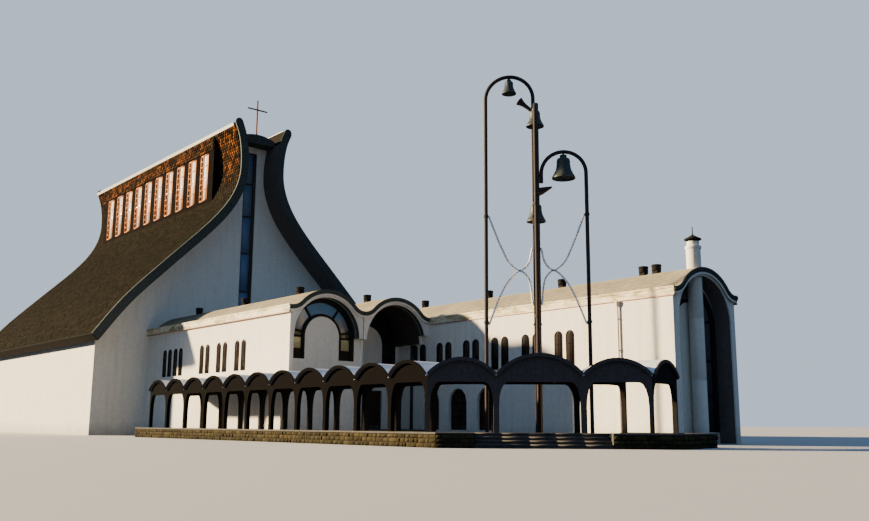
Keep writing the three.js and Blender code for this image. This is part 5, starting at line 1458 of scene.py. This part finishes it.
# %% Doors
DOORWAYS = [-0.29, -2.99, -5.69]
DOORWAY_HALF, DOORWAY_TOP = 0.85, 3.25
DOOR_HALF, DOOR_TOP = 1.3, 3.2
DOOR_Y = PORCH_DEEP + 0.12
LEAF_HALF, LEAF_BACK = 0.84, 0.2
TRANSOM = (2.36, 2.46)
KICK_RAIL, LOCK_RAIL = (TERRACE, 0.86), (1.5, 1.62)
PULL_AWAY, PULL_BRACKETS = 0.16, (1.52, 2.06)


def court_door(y):
    """An arched frame, a transom, a meeting stile and rails in the wall's depth."""
    back, y0, y1 = LEAF_BACK, y - LEAF_HALF, y + LEAF_HALF
    bars = [arched_frame(RIGHT_X, -1, y, DOORWAY_HALF, TERRACE, DOORWAY_TOP, 0.09, 0.1, back),
            wall_box(RIGHT_X, -1, y - 0.05, y + 0.05, TERRACE, DOORWAY_TOP - 0.05, back, 0.09),
            wall_box(RIGHT_X, -1, y0, y1, *TRANSOM, back, 0.09)]
    for rail in (KICK_RAIL, LOCK_RAIL):
        bars.append(wall_box(RIGHT_X, -1, y0, y1, *rail, back + 0.02, 0.07))
    for side in (-0.09, 0.09):
        bars.append(wall_box(RIGHT_X, -1, y + side - 0.012, y + side + 0.012, 1.55, 1.85, back - 0.04,
                             0.05))
    return joined(bars)


def entrance_furniture():
    """Frame, astragal, kick plates and pull bars before the porch's two leaves."""
    x, y = PORCH_MID_X, DOOR_Y
    lows = [(x - DOOR_HALF, y - 0.05, TERRACE), (x + DOOR_HALF - 0.07, y - 0.05, TERRACE),
            (x - DOOR_HALF, y - 0.05, DOOR_TOP - 0.08), (x - 0.035, y - 0.025, TERRACE + 0.02)]
    highs = [(x - DOOR_HALF + 0.07, y, DOOR_TOP), (x + DOOR_HALF, y, DOOR_TOP),
             (x + DOOR_HALF, y, DOOR_TOP), (x + 0.035, y, DOOR_TOP - 0.08)]
    for side in (-1, 1):
        a, b = np.sort([x + side * 0.12, x + side * 1.2])
        pull = x + side * PULL_AWAY
        lows += [(a, y - 0.008, TERRACE + 0.03), (pull - 0.015, y - 0.09, 1.5)]
        highs += [(b, y, TERRACE + 0.22), (pull + 0.015, y - 0.06, 2.1)]
        for z in PULL_BRACKETS:
            lows.append((pull - 0.012, y - 0.07, z))
            highs.append((pull + 0.012, y, z + 0.024))
    return boxes(lows, highs)


piece("court_door_frames", joined([court_door(y) for y in DOORWAYS]), DOOR_WOOD, smooth=False)
piece("entrance_furniture", entrance_furniture(), BRONZE, smooth=False)
piece("porch_board", boxes((RIGHT_X - 0.03, 1.6, TERRACE), (RIGHT_X - 0.001, 1.9, SPRING)), BROWN_WOOD,
      smooth=False)

# %% [markdown]
# ## Rainwater pipes
# A pale metal pipe runs down the courtyard wall near its end, from a hopper under the eave to a
# shoe at the wall's foot, and the outer wall has two like it. Each is a tube along a bent path with
# clips.

# %% Rainwater pipes
PIPE_RADIUS = 0.055
PIPE_OFF = 0.10
CLIP_HEIGHTS, CLIP_HIGH = (6.6, 4.9, 3.2, 1.5), 0.06
PIPES = [(RIGHT_X, -1, -16.2), (RIGHT_END_X, 1, -17.2), (RIGHT_END_X, 1, 19.3)]


def rain_pipe(x, side, y):
    """Straight down from the eave, with a hopper, four clips and a kicked-out shoe."""
    z = [VALLEY - 0.42, 6.0, 4.0, 2.0, 0.45, 0.30, 0.2]
    away = np.array([PIPE_OFF] * 5 + [PIPE_OFF + 0.04, PIPE_OFF + 0.14])
    path = wall_place(x, side, -away, y, z)
    parts = [tube(path, (0, 1, 0), PIPE_RADIUS, 14)]
    spot = wall_place(x, side, -PIPE_OFF, y, 0.0)
    hopper = [[0, VALLEY - 0.72], [0.055, VALLEY - 0.72], [0.13, VALLEY - 0.56], [0.14, VALLEY - 0.42],
              [0, VALLEY - 0.42]]
    parts.append(turned(hopper, spot, 16))
    for low in CLIP_HEIGHTS:
        high = low + CLIP_HIGH
        ring = [[0, low], [0.066, low], [0.072, low + 0.01], [0.072, low + 0.05], [0.066, high], [0, high]]
        parts.append(turned(ring, spot, 14))
        parts.append(wall_box(x, side, y - 0.03, y + 0.03, low, high, -PIPE_OFF, PIPE_OFF))
    return joined(parts)


piece("rain_pipes", joined([rain_pipe(*place) for place in PIPES]), GREY_METAL)

# %% [markdown]
# ## Stack and cap
# The round stack is plastered and painted like the walls, with a collar near its head and a
# pointed dark cap. A turned profile with many steps replaces the faceted solids.

# %% Stack
STACK_X, STACK_Y = RIGHT_MID_X, RIGHT_FRONT_Y + 0.55
STACK_RADIUS, STACK_TOP = 0.39, 10.85


def stack_profile():
    """Radius and height from the foot to the neck, with two fine grooves and a bead at the collar."""
    r, top = STACK_RADIUS, STACK_TOP
    return [[0, 0], [r, 0], [r, 3.3], [r - 0.006, 3.31], [r - 0.006, 3.33], [r, 3.34], [r, 6.6],
            [r - 0.006, 6.61], [r - 0.006, 6.63], [r, 6.64], [r, top - 0.42], [r + 0.03, top - 0.41],
            [r + 0.05, top - 0.37], [r + 0.05, top - 0.29], [r + 0.03, top - 0.25], [r - 0.06, top - 0.24],
            [r - 0.06, top], [0, top]]


CAP = [[0, 0.001], [0.32, 0.001], [0.32, 0.10], [0.44, 0.09], [0.465, 0.11], [0.46, 0.16], [0.30, 0.24],
       [0.12, 0.34], [0.05, 0.39], [0.03, 0.42], [0.022, 0.84], [0, 0.85]]
piece("stack_render", turned(stack_profile(), (STACK_X, STACK_Y, 0), 64), STUCCO,
      ["chimney_stack"])
piece("stack_hood", turned(CAP, (STACK_X, STACK_Y, STACK_TOP), 48), DARK_TRIM, ["chimney_cap"])

# %% [markdown]
# ## Stone facing, coping and treads
# The low wall under the walk is faced with field stone. Its line in plan is a row of corners, and
# each straight stretch is filled with uneven courses: heights and widths are drawn from a seeded
# generator and scaled until they fill the stretch. A stone is a small pillow whose front stands
# out by (1 - u^4)(1 - v^4) of its bulge, with u and v running from -1 to 1 over it.

# %% Line of the low wall
PLINTH_OUT = 0.75
GATE_OUT = 1.6
PLINTH_END = 0.3
STEPS_FROM, STEPS_TO = 2.01, 7.61
STEP_TREAD, STEP_RISE = 0.36, 0.15


def plan_corner(run, along, deep):
    """A plan point of a run."""
    return run.place(along, deep, 0.0)[:2]


wall_x = WALK_START[0] - PLINTH_OUT
first_along = (wall_x - gate_run.start[0] + GATE_OUT * gate_run.inward[0]) / gate_run.along[0]
last_along = gate_run.edges[-1] - GATE_OUT * gate_run.slopes[1]
end_along = last_run.edges[-1] + PLINTH_END
LEFT_LINE = np.array([[wall_x, WALK_START[1] + 0.3], plan_corner(gate_run, first_along, -GATE_OUT),
                      plan_corner(gate_run, STEPS_FROM, -GATE_OUT)])
RIGHT_LINE = np.array([plan_corner(gate_run, STEPS_TO, -GATE_OUT),
                       plan_corner(gate_run, last_along, -GATE_OUT),
                       plan_corner(last_run, end_along, -GATE_OUT),
                       plan_corner(last_run, end_along, WALK_DEEP + 0.15)])
print("low wall corners:", LEFT_LINE.round(2).tolist(), RIGHT_LINE.round(2).tolist())


def stretches(line):
    """Start, direction, outward normal and length of each straight stretch, walked with the wall on
    the left hand."""
    gap = np.diff(line, axis=0)
    long = np.linalg.norm(gap, axis=1)
    along = gap / long[:, None]
    return list(zip(line[:-1], along, np.stack([along[:, 1], -along[:, 0]], -1), long))


# %% Field stones
STONE_TOP = 0.545
STONE_GAP = 0.011
STONE_STEPS = 5
STONE_HIGH, STONE_LONG = (0.12, 0.21), (0.16, 0.52)  # least and most
STONE_BULGE, STONE_WOBBLE = (0.02, 0.06), 0.006
masons = np.random.default_rng(5)


def filled(total, low, high):
    """Drawn lengths that add up to the total: each is scaled by the same small amount."""
    drawn = masons.uniform(low, high, max(1, round(total / ((low + high) / 2))))
    edges = np.concatenate([[0], np.cumsum(drawn)]) * total / drawn.sum()
    return edges[:-1], edges[1:]


def wall_of_stones(start, along, out, length):
    """Pillows laid in courses on one stretch, with the tone of each stone at its points."""
    spans = []
    for low, high in zip(*filled(STONE_TOP, *STONE_HIGH)):
        left, right = filled(length, *STONE_LONG)
        spans.append(np.stack([left, right, np.full(len(left), low), np.full(len(left), high)], -1))
    s0, s1, z0, z1 = np.concatenate(spans).T
    count = len(s0)
    u, v = np.meshgrid(np.linspace(-1, 1, STONE_STEPS), np.linspace(-1, 1, STONE_STEPS), indexing="ij")
    corner_cut = 1 - 0.16 * (u * v) ** 4
    wobble = masons.normal(0, STONE_WOBBLE, (count, STONE_STEPS, STONE_STEPS))
    bulge = masons.uniform(*STONE_BULGE, (count, 1, 1)) * (1 - u**4) * (1 - v**4)
    half_s, half_z = (s1 - s0) / 2 - STONE_GAP, (z1 - z0) / 2 - STONE_GAP
    s = ((s0 + s1) / 2)[:, None, None] + half_s[:, None, None] * u * corner_cut + wobble
    z = ((z0 + z1) / 2)[:, None, None] + half_z[:, None, None] * v * corner_cut + wobble[::-1]
    deep = 0.02 + bulge + np.abs(wobble)
    place = lambda d: np.stack([start[0] + s * along[0] + d * out[0], start[1] + s * along[1] + d * out[1],
                                z], -1)
    front, back = place(deep).reshape(count, -1, 3), place(0 * s).reshape(count, -1, 3)
    points = np.concatenate([front, back], axis=1)
    square = (2, STONE_STEPS, STONE_STEPS, 3)
    model = slab(*points[0].reshape(square))[1]
    first = np.arange(count)[:, None, None] * points.shape[1]
    faces = [(group[None] + first).reshape(-1, 4) for group in model]
    return (points.reshape(-1, 3), faces), np.repeat(masons.random(count), points.shape[1])


def mortar_bed(start, along, out, length):
    """The plain bed behind the stones: a flat profile carried along the stretch."""
    ends = np.array([start, start + along * length])
    path = np.column_stack([ends, np.zeros(2)])
    return swept(path, (*out, 0), (0, 0, 1),
                 [[-0.05, 0.0], [0.016, 0.0], [0.016, STONE_TOP], [-0.05, STONE_TOP]])


laid = [wall_of_stones(*stretch) for line in (LEFT_LINE, RIGHT_LINE) for stretch in stretches(line)]
beds = [mortar_bed(*stretch) for line in (LEFT_LINE, RIGHT_LINE) for stretch in stretches(line)]
facing = joined([shape for shape, tones in laid] + beds)
stone_marks = np.concatenate([tones for shape, tones in laid])
joint_count = len(facing[0]) - len(stone_marks)
piece("stone_facing", facing, RUBBLE, marks={
    "stone": np.concatenate([stone_marks, np.zeros(joint_count)]),
    "joint": np.concatenate([np.zeros(len(stone_marks)), np.ones(joint_count)])}, smooth=True)

# %% Coping
COPING = [[-0.30, -0.045], [0.045, -0.045], [0.06, -0.03], [0.06, 0.015], [0.045, 0.03], [-0.30, 0.03]]
COPING_LENGTH = 0.95
SLAB_GAP = 0.004  # half of the joint between two cap stones or treads


def coping(line):
    """Cap stones along a line. At a corner the profile's outward axis is the mitre of both sides:
    m = (n1 + n2) / (1 + n1 . n2)."""
    sides = stretches(line)
    normals = [out for _, _, out, _ in sides]
    before = [normals[0]] + normals[:-1]
    after = normals[1:] + [normals[-1]]
    stones = []
    for (start, along, out, length), previous, following in zip(sides, before, after):
        ends = [(previous + out) / (1 + previous @ out), (following + out) / (1 + following @ out)]
        edges = np.linspace(0, length, max(1, round(length / COPING_LENGTH)) + 1)
        for k, (low, high) in enumerate(zip(edges, edges[1:])):
            mitres = [ends[0] if k == 0 else out, ends[1] if k == len(edges) - 2 else out]
            across = np.column_stack([mitres, np.zeros(2)])
            path = np.array([[*(start + along * (low + SLAB_GAP)), TERRACE],
                             [*(start + along * (high - SLAB_GAP)), TERRACE]])
            stones.append(swept(path, across, (0, 0, 1), COPING))
    return stones


piece("wall_coping", joined(coping(LEFT_LINE) + coping(RIGHT_LINE)), CONCRETE)

# %% Step treads
TREAD = [[-0.03, -0.045], [-0.035, -0.005], [-0.02, 0.012], [0.0, 0.016], [0.352, 0.016], [0.352, 0.0],
         [0.0, 0.0], [0.0, -0.045]]
TREAD_ROWS, TREAD_STONES = 4, 5


def treads():
    """Slabs with a rounded nose on each step, and a last row at the head of the flight."""
    slabs = []
    edges = np.linspace(STEPS_FROM + 0.005, STEPS_TO - 0.005, TREAD_STONES + 1)
    for step in range(TREAD_ROWS):
        deep = -GATE_OUT + step * STEP_TREAD
        for low, high in zip(edges, edges[1:]):
            ends = np.array([low + SLAB_GAP, high - SLAB_GAP])
            path = gate_run.place(ends, deep, (step + 1) * STEP_RISE)
            slabs.append(swept(path, (*gate_run.inward, 0), (0, 0, 1), TREAD))
    return joined(slabs)


piece("step_treads", treads(), CONCRETE, smooth=False)

# %% [markdown]
# ## The walk's white vaults
# The low vaults are white skins. Each bay is a function of two numbers, along the run and inwards,
# and at the corners its two ends are cut along the mitre by letting the limits change with depth.

# %% Vault skins
SKIN_THICK = 0.1
SKIN_OUT = 0.1
ARC_STEPS, DEEP_STEPS = 28, 8


def bay_grid(run, bay, lift):
    """Points of one vault: along goes between the bay's limits at each depth, and the height is
    its arc."""
    deep = np.linspace(-SKIN_OUT, WALK_DEEP + SKIN_OUT, DEEP_STEPS)
    low, high = run.limits(bay, deep)
    share = np.linspace(0, 1, ARC_STEPS)[:, None]
    along = low + (high - low) * share
    return run.place(along, deep, run.vault(bay, along) + lift)


def vault_skins(runs):
    """All the bays of some runs as closed shells of one thickness."""
    return joined([slab(bay_grid(run, bay, 0.0), bay_grid(run, bay, -SKIN_THICK))
                   for run in runs for bay in range(len(run.edges) - 1)])


piece("vault_skin_long", vault_skins([left_run]), MEMBRANE, ["walk_vaults"])
piece("vault_skin_gate", vault_skins([gate_run]), MEMBRANE, ["gate_vaults"])

# %% Vault edging and the end bay
CAPPING = [[-0.045, -0.12], [0.02, -0.12], [0.02, 0.03], [-0.045, 0.03]]


def vault_edges(runs):
    """Dark capping strips along the end arcs of every vault, at the outer and the inner side."""
    strips = []
    for deep in (-SKIN_OUT, WALK_DEEP + SKIN_OUT):
        for run in runs:
            across = np.array([*run.inward, 0])
            for bay in range(len(run.edges) - 1):
                low, high = run.limits(bay, deep)
                along = np.linspace(low, high, ARC_STEPS)
                path = run.place(along, deep, run.vault(bay, along))
                up = unit(np.cross(np.gradient(path, axis=0), across))
                strips.append(swept(path, across, up, CAPPING))
    return joined(strips)


# The long run's edging takes the paint darkened with painted shade, and the gate's edging takes the paint
# lightened with painted light, as their frames do.
piece("vault_edging_long", vault_edges([left_run]), WALK_PAINT_PAINTED_SHADE)
piece("vault_edging_gate", vault_edges([gate_run, last_run]), GATE_PAINT_PAINTED_LIGHT)
piece("end_bay_skin", slab(bay_grid(last_run, 0, 0.03), bay_grid(last_run, 0, -0.01)), MEMBRANE)

# %% [markdown]
# ## The bell tower
# Four bent pipes lean over a mast, and a bell hangs from each crook. White rods cross between the
# posts and the mast. The solids have few sides, so round pipes, turned bells and flared horns
# stand for them. Each lies in an upright plane through the mast, which one function places.

# %% Tower frame
TOWER = np.array([5.1, -15.59])
TOWER_TURN = -46.5
MAST_RADIUS, MAST_TOP = 0.19, 17.7
ARM_RADIUS, ARM_REACH = 0.1, 2.6
SEAT = 0.0006
ARM_END = MAST_RADIUS + ARM_RADIUS + SEAT
TOP_ARM_END = 0.09
ARM_TAIL = 0.5
ARM_JOINTS = (6.0, 11.55)
MAST_RINGS = (0.0, 5.9, 11.5)
ARMS = {
    "left": (180, 19.33, 0.385, TOP_ARM_END), "front": (270, 17.15, 0.46, ARM_END),
    "right": (0, 15.1, 0.61, ARM_END), "back": (90, 12.95, 0.52, ARM_END),
}


def in_plane(turn, reach, z, aside=0.0):
    """Points at a reach from the mast's axis in the upright plane of one arm."""
    out = heading(TOWER_TURN + turn)
    beside = np.array([-out[1], out[0]])
    reach, z, aside = matched(reach, z, aside)
    plan = TOWER + reach[..., None] * out + aside[..., None] * beside
    return np.concatenate([plan, z[..., None]], -1)


def plane_normal(turn):
    """Level direction square to an arm's plane."""
    out = heading(TOWER_TURN + turn)
    return np.array([-out[1], out[0], 0.0])


# %% Arms
def arm_path(crown, end, steps=56):
    """A post, a half circle over to the mast and a short tail that falls beside it."""
    bend, middle = (ARM_REACH - end) / 2, (ARM_REACH + end) / 2
    spring = crown - ARM_RADIUS - bend
    tail = spring - MAST_TOP - SEAT if end == TOP_ARM_END else ARM_TAIL
    angle = np.linspace(0, np.pi, steps + 1)
    reach = np.concatenate([[ARM_REACH] * 4, middle + bend * np.cos(angle), [end]])
    z = np.concatenate([spring * np.array([0, 0.33, 0.66, 0.97]), spring + bend * np.sin(angle),
                        [spring - tail]])
    return reach, z


def collar(turn, reach, z, radius, high=0.16):
    """A turned ring round a pipe, with soft edges."""
    profile = [[0, 0], [radius, 0.0], [radius + 0.03, 0.015], [radius + 0.03, high - 0.015], [radius, high],
               [0, high]]
    return turned(profile, in_plane(turn, reach, z), 24)


def foot_plate(turn, reach):
    """A round base plate with four bolts under a post."""
    parts = [turned([[0, 0], [0.24, 0], [0.24, 0.03], [0.12, 0.035], [0.10, 0.16], [0, 0.16]],
                    in_plane(turn, reach, 0), 24)]
    for angle in np.radians([45, 135, 225, 315]):
        spot = in_plane(turn, reach + 0.18 * np.cos(angle), 0.03, 0.18 * np.sin(angle))
        parts.append(turned([[0, 0], [0.025, 0], [0.025, 0.03], [0.012, 0.035], [0.012, 0.06], [0, 0.06]],
                            spot, 8))
    return joined(parts)


for word, (turn, crown, mouth, end) in ARMS.items():
    reach, z = arm_path(crown, end)
    pipe = tube(in_plane(turn, reach, z), plane_normal(turn), ARM_RADIUS, 20)
    joints = [collar(turn, ARM_REACH, z, ARM_RADIUS) for z in ARM_JOINTS if z < crown - 2]
    piece(f"arm_pipe_{word}", joined([pipe, foot_plate(turn, ARM_REACH), *joints]), TOWER_STEEL,
          [f"tower_arm_{word}"])


# %% Mast with its horns
HORN_SIDES = 28


def horn(turn, tilt, z, flare):
    """A flared horn on a bracket: a profile turned round its own axis, then tipped from upright."""
    radius, high = np.asarray(flare, float).T
    angle = np.linspace(0, 2 * np.pi, HORN_SIDES, endpoint=False)
    x = radius[:, None] * np.cos(angle)
    y = radius[:, None] * np.sin(angle)
    lean = np.radians(tilt)
    reach = MAST_RADIUS / 2 + x * np.cos(lean) + high[:, None] * np.sin(lean)
    height = z - x * np.sin(lean) + high[:, None] * np.cos(lean)
    faces = grid_faces(len(radius), HORN_SIDES, closed=True)
    return in_plane(turn, reach, height, y).reshape(-1, 3), [faces]


UPPER_HORN = [[0, 0], [0.1, 0], [0.1, 0.3], [0.11, 0.5], [0.135, 0.68], [0.18, 0.82], [0.225, 0.92],
              [0.23, 0.95], [0.21, 0.945], [0.16, 0.84], [0.10, 0.62], [0.05, 0.55], [0, 0.54]]
LOWER_HORN = [[0, 0], [0.18, 0], [0.205, 0.03], [0.20, 0.2], [0.16, 0.36], [0.10, 0.58], [0.045, 0.78],
              [0.02, 0.8], [0, 0.8]]
HORNS = ((180, 50, 17.25, UPPER_HORN), (0, 70, 12.85, LOWER_HORN))
mast_pipe = turned([[0, 0], [MAST_RADIUS, 0], [MAST_RADIUS, MAST_TOP - 0.02],
                    [MAST_RADIUS - 0.02, MAST_TOP], [0, MAST_TOP]], in_plane(0, 0, 0), 36)
mast_rings = [collar(0, 0, z, MAST_RADIUS, 0.12) for z in MAST_RINGS]
piece("mast_pipe", joined([mast_pipe, *mast_rings, *(horn(*place) for place in HORNS)]), TOWER_STEEL,
      ["tower_mast"])

# %% Bells
BELL_DROP = 0.0058
BELL_OUTSIDE = [[0.30, 0.41], [0.50, 0.45], [0.565, 0.62], [0.59, 1.0], [0.66, 1.4], [0.79, 1.72],
                [0.96, 2.02], [1.0, 2.12], [1.0, 2.2]]
BELL_INSIDE = [[0.93, 2.2], [0.86, 2.0], [0.66, 1.6], [0.52, 1.0], [0.44, 0.68], [0.0, 0.60]]
BELL_BANDS, BAND_PROUD, BAND_HALF = (0.72, 1.62, 1.74), 0.022, 0.03
BELL_SIDES = 48


def bell(turn, crown, mouth, end):
    """A cast bell: its outside is a spline through a founder's rib, all in mouth radii, swollen by
    P exp(-((z - level) / H)^2) at three raised bands. Its head carries a yoke block and a loop."""
    top = crown - 2 * ARM_RADIUS - BELL_DROP
    reach = (ARM_REACH + end) / 2
    outside = spline(BELL_OUTSIDE, 48)
    for level in BELL_BANDS:
        outside[:, 0] += BAND_PROUD * np.exp(-(((outside[:, 1] - level) / BAND_HALF) ** 2))
    inside = spline(BELL_INSIDE, 24)
    head = [[0, 0.12], [0.26, 0.12], [0.30, 0.15], [0.30, 0.38]]
    ribs = np.concatenate([head, outside, inside]) * mouth
    at = in_plane(turn, reach, 0)
    cast = turned(np.stack([ribs[:, 0], top - ribs[:, 1]], -1)[::-1], at, BELL_SIDES)
    loop = turned([[0, top - 0.14 * mouth], [0.05, top - 0.14 * mouth], [0.05, top], [0, top]], at, 16)
    tongue = np.array([[0, 0.62], [0.035, 0.62], [0.035, 1.75], [0.10, 1.85], [0.125, 1.95], [0.10, 2.05],
                       [0.04, 2.12], [0, 2.13]]) * mouth
    clapper = turned(np.stack([tongue[:, 0], top - tongue[:, 1]], -1)[::-1], at, 20)
    return joined([cast, loop, clapper])


for word, (turn, crown, mouth, end) in ARMS.items():
    piece(f"bell_cast_{word}", bell(turn, crown, mouth, end), BRONZE, [f"bell_{word}"])

# %% Curved rods
BRACE_RADIUS = 0.04
BRACE_MEET = 8.72
ROD_RADIUS = BRACE_RADIUS + 0.012
ROD_REACHES = (1.8, 1.37, 0.86, 0.45)
HANGING = (11.64, 9.93, 9.1, BRACE_MEET + 0.01, 9.07, 9.9)
STANDING = (5.95, 7.6, 8.3, BRACE_MEET - 0.01, 8.35, 6.95)


def rods(turn):
    """Two rods through chosen points, one hanging and one standing, that cross in the middle."""
    flat = BRACE_RADIUS * np.cos(np.pi / 6)
    outer, inner = ARM_REACH - ARM_RADIUS - flat - SEAT, MAST_RADIUS + flat + SEAT
    reaches = [outer, *ROD_REACHES, inner]
    pair = []
    for heights in (HANGING, STANDING):
        line = spline(np.stack([reaches, heights], -1), 60, 0.5, free_ends=True)
        pair.append(tube(in_plane(turn, line[:, 0], line[:, 1]), plane_normal(turn), ROD_RADIUS, 12))
    return joined(pair)


for word in ("left", "right"):
    piece(f"rods_{word}", rods(ARMS[word][0]), WHITE_STEEL, [f"tower_brace_{word}"])

# %% [markdown]
# ## Floor and light
# The church stands on a floor that the camera sees plain and pale, while the light it bounces is dim
# and bluish, a painted shade that darkens and cools the shaded walls. One large warm light comes from the
# left and behind, as the low sun does in the photograph, and a cool even light from all round fills the
# shade.

# %% Floor and light
FLOOR_REACH = 600.0
FLOOR_GREY = (0.50, 0.50, 0.50)
FLOOR_BOUNCE = (0.045, 0.062, 0.09, 1.0)
SUN_TURN, SUN_HEIGHT = np.radians([51, 15.5])
SUN_SOFT = np.radians(3)
SUN_POWER = 18.0
SUN_COLOUR = (1.0, 0.77, 0.47)
SKY_COLOUR = (0.38, 0.61, 1.0, 1.0)
SKY_POWER = 0.41
BACKDROP = (0.62, 0.74, 0.90, 1.0)
BACKDROP_POWER = 0.95

corner = np.array([[-1, -1, 0], [1, -1, 0], [1, 1, 0], [-1, 1, 0]]) * FLOOR_REACH
floor_mesh = bpy.data.meshes.new("floor")
floor_mesh.from_pydata(corner.tolist(), [], [[0, 1, 2, 3]])
floor_finish, tree, shader, at = finish("studio floor", 0.95)
wander = add(tree, "TexNoise", Vector=at, Scale=0.15).outputs[0]
tree.links.new(blend(tree, wander, FLOOR_GREY, tuple(0.96 * c for c in FLOOR_GREY)),
               shader.inputs["Base Color"])
# The camera sees the pale floor, but every other ray meets this dim bluish diffuse: painted shade that
# keeps the bounced light low and cool on the shaded walls.
dim = add(tree, "BsdfDiffuse", Color=FLOOR_BOUNCE)
looked_at = add(tree, "LightPath").outputs["Is Camera Ray"]
floor_mix = add(tree, "MixShader", n0=looked_at, n1=dim.outputs[0], n2=shader.outputs[0])
tree.links.new(floor_mix.outputs[0], tree.nodes["Material Output"].inputs["Surface"])
floor_mesh.materials.append(floor_finish)
floor = in_scene("floor", floor_mesh)

sun_data = bpy.data.lights.new("key", "SUN")
sun_data.energy = SUN_POWER
sun_data.angle = SUN_SOFT
sun_data.color = SUN_COLOUR
toward = np.array([-np.cos(SUN_TURN) * np.cos(SUN_HEIGHT), np.sin(SUN_TURN) * np.cos(SUN_HEIGHT),
                   np.sin(SUN_HEIGHT)])
side = unit(np.cross((0, 0, 1), toward))
in_scene("key", sun_data).matrix_world = placed(side, np.cross(toward, side), toward)

world = bpy.data.worlds.new("sky")
world.use_nodes = True
tree = world.node_tree
sky = tree.nodes["Background"]
sky.inputs["Color"].default_value = SKY_COLOUR
sky.inputs["Strength"].default_value = SKY_POWER
backdrop = add(tree, "Background", Color=BACKDROP, Strength=BACKDROP_POWER)
seen = add(tree, "LightPath").outputs["Is Camera Ray"]
choice = add(tree, "MixShader", n0=seen, n1=sky.outputs[0], n2=backdrop.outputs[0])
tree.links.new(choice.outputs[0], tree.nodes["World Output"].inputs["Surface"])
bpy.context.scene.world = world
print("sunlight comes from", toward.round(3))

# %% Count of new pieces
print(len(made), "new pieces")
